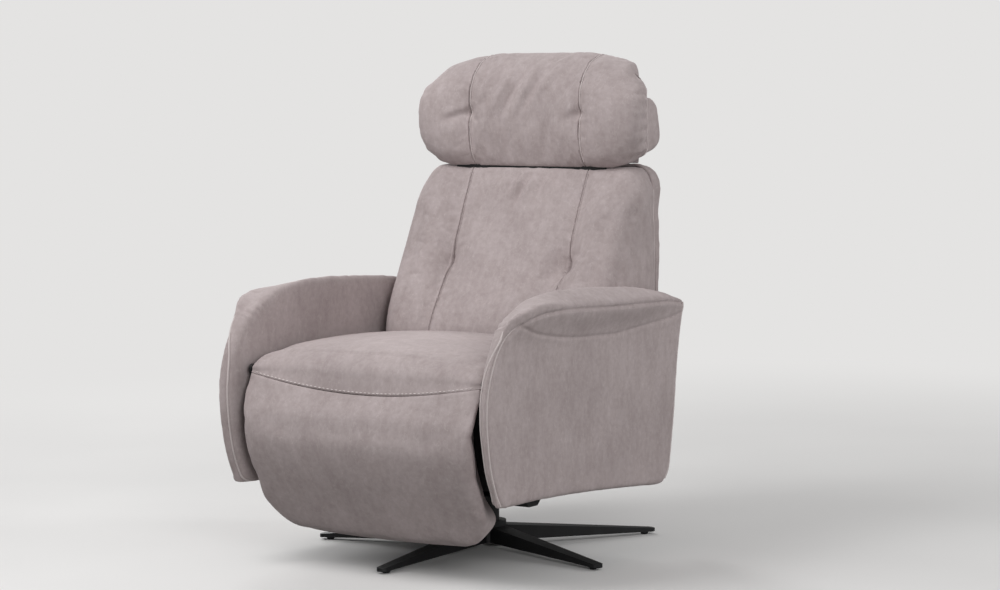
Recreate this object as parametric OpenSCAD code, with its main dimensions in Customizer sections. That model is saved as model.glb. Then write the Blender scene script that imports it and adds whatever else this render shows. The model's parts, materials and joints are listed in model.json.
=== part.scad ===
// Swivel recliner on a star base: the seat unit turns on a column, and leaning
// back swings the footrest out through two push links. The chair faces -Y,
// the floor is at Z = 0 and the swivel axis is the Z axis. Millimetres.

/* [Star base] */
// Radius of the star, from the swivel axis to a leg's tip
base_r = 370; // [330:5:400]
// Number of legs
leg_count = 5; // [4:1:6]
// Width of a leg at the hub
leg_root_w = 40; // [30:1:48]
// Width of a leg at its tip
leg_tip_w = 22; // [16:1:30]
// Height of a leg at the hub
leg_root_h = 35; // [28:1:38]
// Height of a leg at its tip
leg_tip_h = 7; // [5:1:10]
// How far the underside rises from tip to hub
leg_rise = 8; // [4:1:10]
// Radius of the hub
hub_r = 38; // [34:1:44]
// Height of the hub
hub_h = 42; // [38:1:44]
// Height of a glide under a leg
glide_h = 5; // [4:1:6]
// Radius of a glide
glide_r = 8; // [6:1:10]

/* [Column and swivel] */
// Outer radius of the column
column_r = 24; // [22:1:28]
// Wall of the column
column_wall = 5; // [4:0.5:7]
// Height of the column's top above the floor
column_top = 140; // [130:1:146]
// Wall of the bush in the column
bush_wall = 4; // [3:0.5:5]
// Height of the thrust bearing on the column
thrust_h = 8; // [6:1:10]
// Outer radius of the thrust bearing
thrust_r = 30; // [28:1:36]
// Radius of the spindle's flange
flange_r = 38; // [34:1:38]
// Thickness of the spindle's flange
flange_h = 16.7; // [14:0.1:20]
// Thickness of the swivel plate
swivel_plate_t = 6; // [5:0.5:8]
// Width of the swivel plate
swivel_plate_w = 200; // [160:5:240]
// Radius of a swivel plate bolt
plate_bolt_r = 5; // [4:0.5:6]
// Depth of a cross beam below the swivel plate
beam_h = 23; // [18:1:26]
// Width of a cross beam's flange
beam_flange = 16; // [14:1:20]
// Width of a cross beam's floor
beam_floor_w = 29; // [24:1:36]
// Width of a cross beam across its flanges
beam_top_w = 92; // [84:1:96]
// Sheet thickness of a cross beam
beam_t = 3; // [2:0.5:4]
// Distance of the front cross beam in front of the swivel axis
beam_front = 247; // [240:1:255]
// Distance of the rear cross beam behind the swivel axis
beam_rear = 85; // [75:1:95]
// Thickness of the dust cover
dust_cover_t = 1.5; // [1:0.1:2]

/* [Seat] */
// Width of the seat cushion and of the footrest
seat_w = 564; // [540:2:568]
// Height of the seat's crown above the floor
seat_top = 456; // [450:1:470]
// Where the seat cushion ends in front of the swivel axis, at the back
seat_rear = 12; // [10:1:20]
// How much lower the seat is at its sides than in the middle
seat_crown = 20; // [12:1:26]
// Height of the steel frame's top, where the springs lie
frame_top = 318; // [312:1:318]
// Thickness of a spring's wire
spring_t = 3.5; // [3:0.5:4]
// Width of a spring rail
spring_rail_w = 20; // [16:1:24]
// Height of a spring rail
spring_rail_h = 11; // [9:1:11]
// Number of seat springs
seat_spring_count = 5; // [4:1:6]
// Half-width of a spring's waves
spring_wave = 20; // [14:1:24]
// Length of one half wave of a spring
spring_pitch = 24; // [20:1:30]

/* [Mechanism] */
// Thickness of a side plate, a hinge arm or a link
link_t = 3; // [2.5:0.1:3.2]
// Air between two plates that pass each other
layer_gap = 0.7; // [0.5:0.1:0.8]
// Air between the seat and a side plate
side_gap = 1; // [0.8:0.1:1.2]
// Running clearance of a pin in its hole
run_gap = 0.05; // [0.03:0.01:0.08]
// Air between pieces that pass each other at rest
part_gap = 0.3; // [0.3:0.1:0.5]
// Radius of a main pivot pin
pivot_r = 5; // [4:0.5:6]
// Radius of a link pin
link_pin_r = 4; // [3:0.5:4.5]
// Height of a pin's head
head_t = 2; // [1.5:0.1:2.2]
// Footrest pivot, in front of the swivel axis
foot_pivot_y = 400; // [396:1:404]
// Footrest pivot, height above the floor
foot_pivot_z = 395; // [392:1:398]
// Back pivot, behind the swivel axis
back_pivot_y = 60; // [56:1:64]
// Back pivot, height above the floor
back_pivot_z = 350; // [348:1:354]
// Length of the footrest's link lever
foot_lever_l = 25; // [22:0.5:28]
// Length of the back's link lever
back_lever_l = 48.8; // [44:0.2:52]
// Radius of the ends of a push link
link_end_r = 8; // [7:0.5:10]
// Slack of the push link on the footrest's link pin
link_slack = 1.9; // [1.8:0.1:2.2]
// How far the link's front hole lies below that pin at rest
link_drop = 1.2; // [1:0.1:1.4]

/* [Gas spring] */
// Radius of the gas spring's tube
gas_tube_r = 11; // [9:0.5:14]
// Radius of the gas spring's rod
gas_rod_r = 5; // [4:0.5:6]
// Length of the tube
gas_tube_l = 170; // [150:5:185]
// Length of the back's gas lever
gas_lever_l = 60; // [52:1:64]
// Radius of the gas spring's eyes
gas_eye_r = 11; // [10:0.5:14]
// Slack of the rod's eye on its pin
gas_slack = 2; // [1.9:0.1:2.4]
// How far the rod's eye lies below its pin at rest
gas_drop = 1.5; // [1.3:0.1:1.7]

/* [Back] */
// Air between the back cushion and an arm
back_side_gap = 20; // [18:1:30]
// How much the back cushion narrows at its top, on each side
back_narrowing = 8; // [4:1:16]
// Height of the back cushion's underside
back_under = 353; // [352:1:360]
// Height of the back cushion's top
back_top = 776; // [770:1:780]
// Where the back cushion meets the rear cover, behind the swivel axis
back_rear_y = 229; // [228:1:236]
// Depth of the rear cover
rear_cover_d = 28; // [24:1:40]
// Wall of the rear cover
rear_cover_wall = 6; // [4:0.5:9]
// Depth of the two seams in the back cushion
seam_depth = 7; // [3:0.5:10]
// Depth of the sewn tufts below the seams
tuft_depth = 12; // [6:1:16]
// Distance of the seams from the middle of the back
back_seam_x = 146; // [136:1:156]
// Height of the back's tufts above the floor
back_tuft_z = 581; // [560:1:600]
// Radius of the back frame's side tubes
back_tube_r = 11; // [9:0.5:12]
// Radius of the back frame's cross tubes
cross_tube_r = 12.5; // [12.3:0.1:14]
// Distance of the back frame's side tubes from the cushion's sides
back_tube_in = 55; // [52:1:64]
// Number of back springs
back_spring_count = 4; // [3:1:5]

/* [Headrest] */
// How far the headrest stands out past the back cushion, on each side
head_side_out = 2; // [-10:1:6]
// Distance of the rear pad's ends from the headrest's ends
head_pad_in = 39; // [30:1:52]
// Distance of the headrest's seams from the middle
head_seam_x = 139; // [130:1:150]
// Height of the headrest's tufts above its pivot
head_tuft_rise = 111; // [100:1:124]
// Headrest pivot, behind the swivel axis
head_pivot_y = 184; // [182:1:186]
// Height of the headrest pivot above the back cushion
head_pivot_rise = 5; // [4:1:7]
// Height of the headrest above its pivot
head_h = 237; // [225:1:250]
// Thickness of the headrest board
head_board_t = 10; // [8:1:12]
// Distance of the headrest hinges from the middle
head_hinge_x = 120; // [100:1:126]
// Thickness of a headrest hinge leaf
leaf_t = 4; // [3:0.5:5]

/* [Arms] */
// Air between the mechanism's pins and an arm
arm_gap = 1.3; // [1:0.1:4]
// Thickness of an arm's flat panel
arm_panel_t = 33; // [31:1:40]
// How far the top roll stands out from the panel
arm_roll_out = 34; // [26:1:38]
// How much higher the ridge is than the roll's outer edge
arm_ridge = 29; // [20:1:34]
// Height of an arm's lowest point above the floor
arm_bottom = 132; // [126:1:138]
// Height of an arm's outline, from its lowest point to the roll's edge
arm_h = 398; // [380:1:410]
// Reach of an arm in front of the swivel axis
arm_front = 462; // [450:1:470]
// Reach of an arm behind the swivel axis
arm_rear = 254; // [244:1:264]
// Thickness of the arm's wooden core
arm_core_t = 18; // [15:1:20]
// Radius of an arm bolt
arm_bolt_r = 4; // [3:0.5:5]

/* [Footrest] */
// Thickness of the footrest board
foot_board_t = 12; // [10:1:14]
// Radius of the footrest's lower corners
foot_corner_r = 170; // [120:5:190]
// How far the footrest swells in the middle
foot_crown = 8; // [0:1:12]

/* [Hidden] */
$fn = 48;
// How far a cut runs past the face it opens
over = 1;
// Finishes as the photograph shows them
fabric = "#a2979a";
steel = "#1c1c1e";
bright_steel = "#8d9094";
wood = "#c8a877";
dark_cloth = "#242426";
plastic = "#303033";

function mix(a, b, t) = a + (b - a) * t;
function clamp(v, low, high) = max(low, min(high, v));
function ease(t) = let (c = clamp(t, 0, 1)) c * c * (3 - 2 * c);
function unit(v) = v / norm(v);
// A point on the smooth curve through the points p, where s counts the points
function curve_at(p, s) =
    let (n = len(p), i = min(floor(s), n - 2), t = s - i)
    let (a = p[max(i - 1, 0)], b = p[i], c = p[i + 1], d = p[min(i + 2, n - 1)])
    (2 * b + (c - a) * t + (2 * a - 5 * b + 4 * c - d) * t * t
        + (3 * b - a - 3 * c + d) * t * t * t) / 2;
function curve(p, count) = [for (k = [0:count]) curve_at(p, k * (len(p) - 1) / count)];
// The value of a table of [place, value] rows at a place
function table_at(rows, v, i = 0) =
    v <= rows[0][0] ? rows[0][1]
    : i > len(rows) - 2 ? rows[len(rows) - 1][1]
    : v <= rows[i + 1][0]
        ? mix(rows[i][1], rows[i + 1][1], (v - rows[i][0]) / (rows[i + 1][0] - rows[i][0]))
    : table_at(rows, v, i + 1);
// The left-hand normal of a flat curve at its point k
function normal_at(p, k) =
    let (d = unit(p[min(k + 1, len(p) - 1)] - p[max(k - 1, 0)])) [-d[1], d[0]];
// A band along a flat curve, between two distances from it
function band(p, near, far) = concat(
    [for (k = [0:len(p) - 1]) p[k] + normal_at(p, k) * near],
    [for (k = [len(p) - 1:-1:0]) p[k] + normal_at(p, k) * far]
);
// Both signs of a list of positive places, from the lowest to the highest
function both_ways(v) = concat([for (k = [len(v) - 1:-1:1]) -v[k]], v);

function skin_volume(p, f) =
    [for (t = f) p[t[0]] * cross(p[t[1]], p[t[2]])] * [for (t = f) 1];
// A closed skin over rings of equal length; each end joins opposite points of its ring
module skin(rings) {
    m = len(rings[0]);
    last = (len(rings) - 1) * m;
    points = [for (r = rings) each r];
    sides = [for (i = [0:len(rings) - 2], k = [0:m - 1])
        let (a = i * m + k, b = i * m + (k + 1) % m)
        each [[a, b, b + m], [a, b + m, a + m]]];
    ends = [for (k = [0:m / 2 - 2])
        let (a = k, b = k + 1, c = m - 2 - k, d = m - 1 - k)
        each [[a, d, c], [a, c, b], [last + a, last + c, last + d], [last + a, last + b, last + c]]];
    faces = concat(sides, ends);
    outward = skin_volume(points, faces) < 0;
    polyhedron(points, outward ? faces : [for (t = faces) [t[2], t[1], t[0]]]);
}

// A flat outline in Y and Z, drawn out along X from x by t
module slab(x, t) {
    translate([x, 0, 0]) rotate([90, 0, 90]) linear_extrude(t) children();
}
// The same on the side that s names, -1 for left and 1 for right
module side(s) {
    mirror([s < 0 ? 1 : 0, 0, 0]) children();
}
// A flat bar between two round ends
module strap(a, b, ra, rb) {
    hull() {
        translate(a) circle(ra, $fn = 32);
        translate(b) circle(rb, $fn = 32);
    }
}
module round_bar(x, p, r, l) {
    translate([x, p[0], p[1]]) rotate([0, 90, 0]) cylinder(r = r, h = l);
}
function polar(p, r, a) = p + r * [sin(a), -cos(a)];

// Places of the mechanism, as [y, z]
foot_pivot = [-foot_pivot_y, foot_pivot_z];
back_pivot = [back_pivot_y, back_pivot_z];
// Angles of the levers from straight down, towards the rear
foot_lever_a = 33.8;
back_lever_a = 20.5;
gas_lever_a = 8;
foot_pin = polar(foot_pivot, foot_lever_l, foot_lever_a);
back_pin = polar(back_pivot, back_lever_l, back_lever_a);
gas_pin = polar(back_pivot, gas_lever_l, gas_lever_a);
// Layers beside the seat, from the inside out
seat_half = seat_w / 2;
side_x = seat_half + side_gap;
arm_layer_x = side_x + link_t + layer_gap;
link_x = arm_layer_x + link_t + layer_gap;
arm_inner_x = link_x + link_t + part_gap + head_t + arm_gap;
// Levels of the swivel
column_foot = glide_h + leg_rise;
plate_z = column_top + thrust_h + part_gap + flange_h;
plate_top = plate_z + swivel_plate_t;
beam_floor = plate_z - beam_h;
shaft_r = column_r - column_wall - bush_wall;
bore_r = column_r - column_wall;
cover_z = plate_top + dust_cover_t;
seat_under = frame_top + spring_t + part_gap;
back_half_w = arm_inner_x - back_side_gap;
back_top_half_w = back_half_w - back_narrowing;
back_tube_x = back_half_w - back_tube_in;
head_half_w = back_half_w + head_side_out;
head_pad_half_w = head_half_w - head_pad_in;
head_pivot_z = back_top + head_pivot_rise;
head_pivot = [head_pivot_y, head_pivot_z];
head_top = head_pivot_z + head_h;
head_tuft_z = head_pivot_z + head_tuft_rise;
arm_l = arm_front + arm_rear;

// Star base

module leg() {
    rise = glide_h + leg_rise;
    intersection() {
        rotate([90, 0, 0]) translate([0, 0, -leg_root_w]) linear_extrude(leg_root_w * 2)
            polygon([
                [0, rise], [base_r, glide_h],
                [base_r, glide_h + leg_tip_h], [0, rise + leg_root_h]
            ]);
        linear_extrude(rise + leg_root_h) polygon([
            [0, -leg_root_w / 2], [base_r - leg_tip_w / 4, -leg_tip_w / 2],
            [base_r, -leg_tip_w / 4], [base_r, leg_tip_w / 4],
            [base_r - leg_tip_w / 4, leg_tip_w / 2], [0, leg_root_w / 2]
        ]);
    }
}
module star_base() {
    color(steel) difference() {
        union() {
            for (k = [0:leg_count - 1]) rotate(k * 360 / leg_count - 90) leg();
            translate([0, 0, column_foot]) cylinder(r = hub_r, h = hub_h);
        }
        translate([0, 0, column_foot - over])
            cylinder(r = column_r, h = hub_h + over * 2);
    }
}
module base_glides() {
    reach = base_r - leg_tip_w;
    color(plastic) for (k = [0:leg_count - 1])
        rotate(k * 360 / leg_count - 90) translate([reach, 0, 0]) {
            cylinder(r1 = glide_r - glide_h / 4, r2 = glide_r, h = glide_h / 2);
            translate([0, 0, glide_h / 2]) cylinder(r = glide_r, h = glide_h / 2);
        }
}
module base_column() {
    color(steel) translate([0, 0, column_foot]) difference() {
        cylinder(r = column_r, h = column_top - column_foot);
        translate([0, 0, column_wall])
            cylinder(r = bore_r, h = column_top - column_foot);
    }
}
module column_bush() {
    foot = hub_h + column_foot;
    color(plastic) difference() {
        translate([0, 0, foot]) cylinder(r = bore_r, h = column_top - foot);
        translate([0, 0, foot - over])
            cylinder(r = shaft_r + run_gap, h = column_top - foot + over * 2);
    }
}
module thrust_bearing() {
    race = thrust_h / 4;
    color(bright_steel) translate([0, 0, column_top]) difference() {
        union() {
            cylinder(r = thrust_r, h = race);
            cylinder(r = thrust_r - race, h = thrust_h);
            translate([0, 0, thrust_h - race]) cylinder(r = thrust_r, h = race);
        }
        translate([0, 0, -over])
            cylinder(r = shaft_r + part_gap, h = thrust_h + over * 2);
    }
}

// Seat unit: spindle, plate and beams

module spindle() {
    tip = column_foot + column_wall + part_gap;
    color(bright_steel) {
        translate([0, 0, tip]) cylinder(r = shaft_r, h = plate_z - tip);
        translate([0, 0, plate_z - flange_h]) cylinder(r = flange_r, h = flange_h);
    }
}
plate_front = -beam_front - beam_top_w / 2 + beam_t;
plate_rear = beam_rear + beam_top_w / 2 - beam_t;
plate_bolt_x = swivel_plate_w / 2 - plate_bolt_r * 3;
module at_plate_bolts() {
    across = beam_top_w / 2 - beam_flange / 2;
    for (y = [-beam_front, beam_rear], e = [-across, across], s = [-1, 1])
        translate([s * plate_bolt_x, y + e, plate_z]) children();
}
module swivel_plate() {
    corner = plate_bolt_r * 4;
    color(steel) difference() {
        translate([0, 0, plate_z]) linear_extrude(swivel_plate_t) polygon([
            [-swivel_plate_w / 2, plate_front], [swivel_plate_w / 2, plate_front],
            [swivel_plate_w / 2, plate_rear - corner], [swivel_plate_w / 2 - corner, plate_rear],
            [corner - swivel_plate_w / 2, plate_rear], [-swivel_plate_w / 2, plate_rear - corner]
        ]);
        at_plate_bolts() translate([0, 0, -over])
            cylinder(r = plate_bolt_r + run_gap, h = swivel_plate_t + over * 2);
    }
}
module swivel_bolts() {
    color(bright_steel) at_plate_bolts() {
        translate([0, 0, -beam_t]) cylinder(r = plate_bolt_r, h = beam_t + swivel_plate_t);
        translate([0, 0, -beam_t - plate_bolt_r]) cylinder(r = beam_flange / 2, h = plate_bolt_r);
    }
}
// A pressed channel with flared walls and a flange along each top edge
module beam(y) {
    half = beam_top_w / 2;
    neck = half - beam_flange;
    foot = beam_floor_w / 2;
    wall = beam_t * 1.25;
    color(steel) difference() {
        slab(-side_x, side_x * 2) translate([y, 0]) polygon([
            [-half, plate_z], [-half, plate_z - beam_t], [-neck, plate_z - beam_t],
            [-foot, beam_floor], [foot, beam_floor], [neck, plate_z - beam_t],
            [half, plate_z - beam_t], [half, plate_z], [neck - wall, plate_z],
            [foot - wall / 2, beam_floor + beam_t], [wall / 2 - foot, beam_floor + beam_t],
            [wall - neck, plate_z]
        ]);
        at_plate_bolts() translate([0, 0, -beam_t - over])
            cylinder(r = plate_bolt_r + run_gap, h = beam_t + over * 2);
    }
}
module front_beam() { beam(-beam_front); }
module rear_beam() { beam(beam_rear); }
module dust_cover() {
    color(dark_cloth) translate([-side_x, plate_front, plate_top])
        cube([side_x * 2, plate_rear - plate_front, dust_cover_t]);
}

// Seat unit: side plates, rails and springs

rail_front = 330;
rail_rear = 10;
plate_body_front = beam_front + beam_top_w / 2 - beam_t * 3;
plate_body_rear = beam_rear + beam_top_w / 2;
ear_r = 16;
nose_ear_r = 11;
arm_bolt_shares = [[0.38, 0.209], [0.757, 0.209]];
arm_bolt_spots = [for (p = arm_bolt_shares) arm_place(p)];
module side_plate_outline() {
    nose = rail_front + spring_rail_w / 2;
    step = frame_top - spring_rail_w * 2;
    difference() {
        union() {
            polygon([
                [-plate_body_front, plate_z - beam_t], [-plate_body_front, step - spring_rail_w * 2],
                [-nose, step], [-nose, frame_top], [plate_body_rear, frame_top],
                [plate_body_rear, plate_z - beam_t]
            ]);
            for (y = [-beam_front, beam_rear]) translate([y, 0]) polygon([
                [beam_flange / 2 - beam_top_w / 2, plate_z], [-beam_floor_w / 2, beam_floor],
                [beam_floor_w / 2, beam_floor], [beam_top_w / 2 - beam_flange / 2, plate_z]
            ]);
            strap(foot_pivot, [-rail_front + spring_rail_w, frame_top - ear_r], nose_ear_r, ear_r);
            strap(back_pivot, [back_pivot_y, frame_top - ear_r * 2], ear_r, ear_r * 2);
        }
        translate(foot_pivot) circle(pivot_r + run_gap);
        translate(back_pivot) circle(pivot_r + run_gap);
        for (p = arm_bolt_spots) translate(p) circle(arm_bolt_r + run_gap);
        // Windows that lighten the plate
        window_top = frame_top - spring_rail_w * 2;
        window_low = plate_z + spring_rail_w;
        window_side = spring_rail_w * 1.5;
        polygon([
            [-beam_front + window_side, window_top - spring_rail_w],
            [-beam_front + window_side, window_low],
            [arm_bolt_spots[0][0] - window_side / 2, window_low],
            [arm_bolt_spots[0][0] - window_side / 2, window_top]
        ]);
        bay_from = arm_bolt_spots[0][0] + window_side;
        bay = (arm_bolt_spots[1][0] - window_side - bay_from + spring_rail_w) / 2;
        for (k = [0, 1]) translate([bay_from + k * bay, window_low])
            square([bay - spring_rail_w, window_top - window_low]);
    }
}
module side_plate(s) {
    color(steel) side(s) slab(side_x, link_t) side_plate_outline();
}
module side_plate_left() { side_plate(-1); }
module side_plate_right() { side_plate(1); }
module spring_rail(y) {
    low = frame_top - spring_rail_h;
    wall = beam_t / 2;
    color(steel) difference() {
        translate([-side_x, y - spring_rail_w / 2, low])
            cube([side_x * 2, spring_rail_w, spring_rail_h]);
        translate([-side_x - over, y - spring_rail_w / 2 + wall, low + wall])
            cube([side_x * 2 + over * 2, spring_rail_w - wall * 2, spring_rail_h - wall * 2]);
    }
}
module front_spring_rail() { spring_rail(-rail_front); }
module rear_spring_rail() { spring_rail(rail_rear); }
// A flat waved spring along Y, from y0 to y1
wave_steps = 6;
module wave(y0, y1) {
    turns = max(2, round((y1 - y0) / spring_pitch));
    path = [for (k = [0:turns * wave_steps])
        [mix(y0, y1, k / turns / wave_steps), spring_wave * sin(k * 180 / wave_steps)]];
    polygon(band(path, -spring_t / 2, spring_t / 2));
}
module seat_springs() {
    bay = (seat_w - spring_wave * 4) / (seat_spring_count - 1);
    color(bright_steel) for (k = [0:seat_spring_count - 1])
        translate([spring_wave * 2 - seat_half + k * bay, 0, frame_top])
            mirror([1, 0, 0]) rotate(90) linear_extrude(spring_t)
                wave(-rail_front - spring_rail_w / 4, rail_rear + spring_rail_w / 4);
}

// Seat cushion. Shares of the seat's rise above the footrest pivot, and places along it
nose_mid_r = 38;
nose_end_r = 14;
seam_mid_a = 23;
seam_end_a = 65;
nose_gap = 1.4;
seam_low_a = 55;
function nose_r(u) = mix(nose_mid_r, nose_end_r, u * u);
function seam_a(u) = mix(seam_mid_a, seam_end_a, u * u);
seat_top_shares = [
    [0.010, -0.02], [0.016, 0.24], [0.060, 0.60], [0.145, 0.83], [0.270, 0.94],
    [0.430, 0.99], [0.640, 1.0], [0.840, 0.93], [0.985, 0.80], [1.0, 0.70]
];
seat_edge_r = 22;
seat_edge_shares = [[0, 0], [0.90, 0], [0.96, 0.18], [0.99, 0.55], [1, 1]];
seat_stations = [0, 0.22, 0.44, 0.64, 0.80, 0.91, 0.965, 0.99, 1];
seat_steps = 13;
function seat_ring(x) =
    let (u = abs(x) / seat_half, r = nose_r(u) - nose_gap)
    let (edge = seat_edge_r * table_at(seat_edge_shares, u), drop = seat_crown * u * u + edge)
    let (rise = seat_top - foot_pivot_z - drop, reach = foot_pivot_y + nose_end_r - seat_rear)
    let (seam = polar(foot_pivot, r, -seam_a(u)))
    let (front = -foot_pivot_y - nose_end_r + edge / 8)
    let (crown = [for (p = seat_top_shares) [front + p[0] * reach, foot_pivot_z + p[1] * rise]])
    let (upper = concat([seam], curve(crown, seat_steps - 1)))
    let (low = seat_under + edge / 2)
    let (chamfer = [-foot_pivot_y + nose_mid_r * 2, low])
    let (lower = concat(
        [foot_pivot + [0, -r], polar(foot_pivot, r, seam_low_a)],
        [for (k = [0:seat_steps - 2]) mix(chamfer, [-seat_rear, low], k / (seat_steps - 2))]
    ))
    [for (p = concat(upper, [for (k = [len(lower) - 1:-1:0]) lower[k]])) [x, p[0], p[1]]];
module seat_cushion() {
    color(fabric) skin([for (u = both_ways(seat_stations)) seat_ring(u * seat_half)]);
}

// Arms. Shares of the outline's length and height, from the lowest front corner round
arm_outline_shares = [
    [0.045, 0.090], [0.018, 0.225], [0.003, 0.370], [0.000, 0.500], [0.011, 0.643],
    [0.036, 0.769], [0.068, 0.864], [0.122, 0.955], [0.183, 0.998], [0.263, 1.004],
    [0.358, 1.000], [0.497, 0.987], [0.640, 0.982], [0.750, 0.975], [0.892, 0.955], [0.995, 0.936],
    [0.990, 0.880], [0.970, 0.720], [0.955, 0.560], [0.940, 0.360], [0.918, 0.140], [0.905, 0.050],
    [0.885, 0.010], [0.848, 0.000], [0.790, 0.010], [0.620, 0.036], [0.440, 0.058], [0.260, 0.072],
    [0.110, 0.072], [0.070, 0.076]
];
arm_points = 64;
function arm_place(p) = [p[0] * arm_l - arm_front, arm_bottom + p[1] * arm_h];
arm_loop = [for (p = arm_outline_shares) arm_place(p)];
function arm_wrapped(k) =
    let (n = len(arm_loop), s = k * n / arm_points, i = floor(s), t = s - i)
    curve_at([for (j = [-1:2]) arm_loop[(i + j + n) % n]], 1 + t);
arm_curve = [for (k = [0:arm_points - 1]) arm_wrapped(k)];
function arm_normal(k) =
    let (n = arm_points, d = unit(arm_curve[(k + 1) % n] - arm_curve[(k + n - 1) % n]))
    [d[1], -d[0]];
// How far a point takes part in the top roll, from 0 to 1
function roll_share(p) =
    let (along = (p[0] + arm_front) / arm_l, up = (p[1] - arm_bottom) / arm_h)
    let (rise = ease((up - 0.72) / 0.3))
    rise * rise * ease((1.10 - along) / 0.4);
// How far a point takes part in the ridge along the roll's inner edge
function ridge_share(p) =
    let (along = (p[0] + arm_front) / arm_l)
    roll_share(p) * (ease((along - 0.17) / 0.2) * 1.35 - 0.35);
// Rows of [place across the panel, shares of the edge's radius, of the tuck under the roll,
// of the roll's reach, of the ridge's rise and of the front edge's radius]
arm_edge_r = 6;
arm_tuck = 50;
arm_nose_r = 24;
arm_row_shares = [
    [0, 1, 0, 0, 0.60, 1], [0.05, 0.27, 0, 0, 0.85, 0.68], [0.22, 0, 0, 0.05, 1.0, 0.3],
    [0.60, 0, 0, 0.55, 0.55, 0.04], [0.93, 0, 0, 0.95, 0.06, 0], [1.0, 0.4, 0, 1.0, -0.05, 0],
    [1.0, 0.8, 0.2, 0.85, -0.15, 0], [1.0, 1.2, 0.6, 0.25, -0.35, 0], [1.0, 1.6, 1, 0, -0.3, 0]
];
// How far a point takes part in the rounded front edge
function nose_share(p) = ease((0.17 - (p[0] + arm_front) / arm_l) / 0.15);
function arm_ring(row) = [for (k = [0:arm_points - 1])
    let (p = arm_curve[k], w = roll_share(p))
    let (nose = arm_nose_r * row[5] * nose_share(p))
    let (q = p + arm_normal(k) * (arm_edge_r * row[1] + arm_tuck * row[2] * w + nose))
    [arm_inner_x + arm_panel_t * row[0] + arm_roll_out * row[3] * w,
     q[0], q[1] + arm_ridge * row[4] * (row[4] > 0 ? ridge_share(p) : w)]];
core_x = arm_inner_x + (arm_panel_t - arm_core_t) / 2;
// The wooden core's outline, in shares of the arm's
core_shares = [
    [0.078, 0.17], [0.052, 0.37], [0.05, 0.50], [0.062, 0.64], [0.092, 0.77], [0.14, 0.86],
    [0.20, 0.91], [0.28, 0.92], [0.50, 0.905], [0.75, 0.89], [0.935, 0.86], [0.92, 0.72],
    [0.90, 0.50], [0.865, 0.20], [0.845, 0.09], [0.62, 0.12], [0.44, 0.14], [0.26, 0.155]
];
core_outline = [for (p = core_shares) arm_place(p)];
module arm_core(s) {
    color(wood) side(s) difference() {
        slab(core_x, arm_core_t) polygon(core_outline);
        for (p = arm_bolt_spots)
            round_bar(core_x - over, p, arm_bolt_r, arm_core_t + over * 2);
    }
}
module arm_cover(s) {
    color(fabric) side(s) difference() {
        skin([for (row = arm_row_shares) arm_ring(row)]);
        slab(core_x - part_gap, arm_core_t + part_gap * 2)
            offset(delta = part_gap) polygon(core_outline);
        for (p = arm_bolt_spots)
            round_bar(arm_inner_x - over, p, arm_bolt_r * 2, core_x - arm_inner_x + over);
    }
}
module arm_core_left() { arm_core(-1); }
module arm_core_right() { arm_core(1); }
module arm_cover_left() { arm_cover(-1); }
module arm_cover_right() { arm_cover(1); }
module arm_spacers() {
    x = side_x + link_t;
    color(bright_steel) for (s = [-1, 1], p = arm_bolt_spots) side(s) difference() {
        round_bar(x, p, arm_bolt_r * 2 - part_gap, core_x - x);
        round_bar(x - over, p, arm_bolt_r + run_gap, core_x - x + over * 2);
    }
}
module arm_bolts() {
    color(bright_steel) for (s = [-1, 1], p = arm_bolt_spots) side(s) {
        round_bar(side_x - arm_bolt_r, p, arm_bolt_r * 2, arm_bolt_r);
        round_bar(side_x, p, arm_bolt_r, core_x + arm_core_t - side_x);
    }
}

// Footrest. Shares of its depth behind the front and of its height below the pivot
foot_reach = 143;
foot_drop = 327;
foot_bulge = 46;
foot_front = foot_pivot_y + foot_bulge;
foot_outer_shares = [
    [0.213, 0.102], [0.067, 0.173], [0.0, 0.269], [0.013, 0.401], [0.127, 0.561],
    [0.293, 0.702], [0.453, 0.827], [0.587, 0.933], [0.720, 0.994], [0.873, 0.997]
];
foot_inner_shares = [
    [0.560, 0.129], [0.553, 0.219], [0.547, 0.307], [0.573, 0.424], [0.660, 0.556],
    [0.773, 0.673], [0.880, 0.775], [0.953, 0.848], [0.993, 0.906], [0.980, 0.956]
];
function foot_place(p) = [p[0] * foot_reach - foot_front, foot_pivot_z - p[1] * foot_drop];
foot_outer = [for (p = foot_outer_shares) foot_place(p)];
foot_inner = [for (p = foot_inner_shares) foot_place(p)];
foot_steps = 13;
foot_edge_r = 16;
foot_edge_shares = [[0, 0], [0.90, 0], [0.96, 0.19], [0.99, 0.56], [1, 1]];
foot_stations = [0, 0.22, 0.44, 0.64, 0.78, 0.88, 0.945, 0.985, 1];
function foot_end_share(x) =
    let (c = clamp((abs(x) - seat_half + foot_corner_r) / foot_corner_r, 0, 0.99))
    1 - foot_corner_r * (1 - sqrt(1 - c * c)) / foot_drop;
function foot_ring(x) =
    let (u = abs(x) / seat_half, edge = foot_edge_r * table_at(foot_edge_shares, u))
    let (reach = (len(foot_outer) - 1) * foot_end_share(x))
    let (top = polar(foot_pivot, nose_r(u) + nose_gap, -seam_a(u)))
    let (puff = foot_crown * (1 - u * u) - edge)
    let (shift = top - foot_outer[0])
    let (outer = [for (k = [0:foot_steps])
        let (s = k / foot_steps * reach, here = curve_at(foot_outer, s))
        let (fade = max(0, 1 - s * 1.6), ahead = curve_at(foot_outer, s + 0.05) - here)
        let (out = unit([ahead[1], -ahead[0]]))
        here + shift * fade - [abs(out[0]), abs(out[1])] * puff * (1 - fade)])
    let (inner = [for (k = [0:foot_steps])
        curve_at(foot_inner, k / foot_steps * reach) + [-edge / 8, 0]])
    [for (p = concat(outer, [for (k = [foot_steps:-1:0]) inner[k]])) [x, p[0], p[1]]];
module footrest_pad() {
    color(fabric) skin([for (u = both_ways(foot_stations)) foot_ring(u * seat_half)]);
}
board_gap = part_gap * 3;
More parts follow.
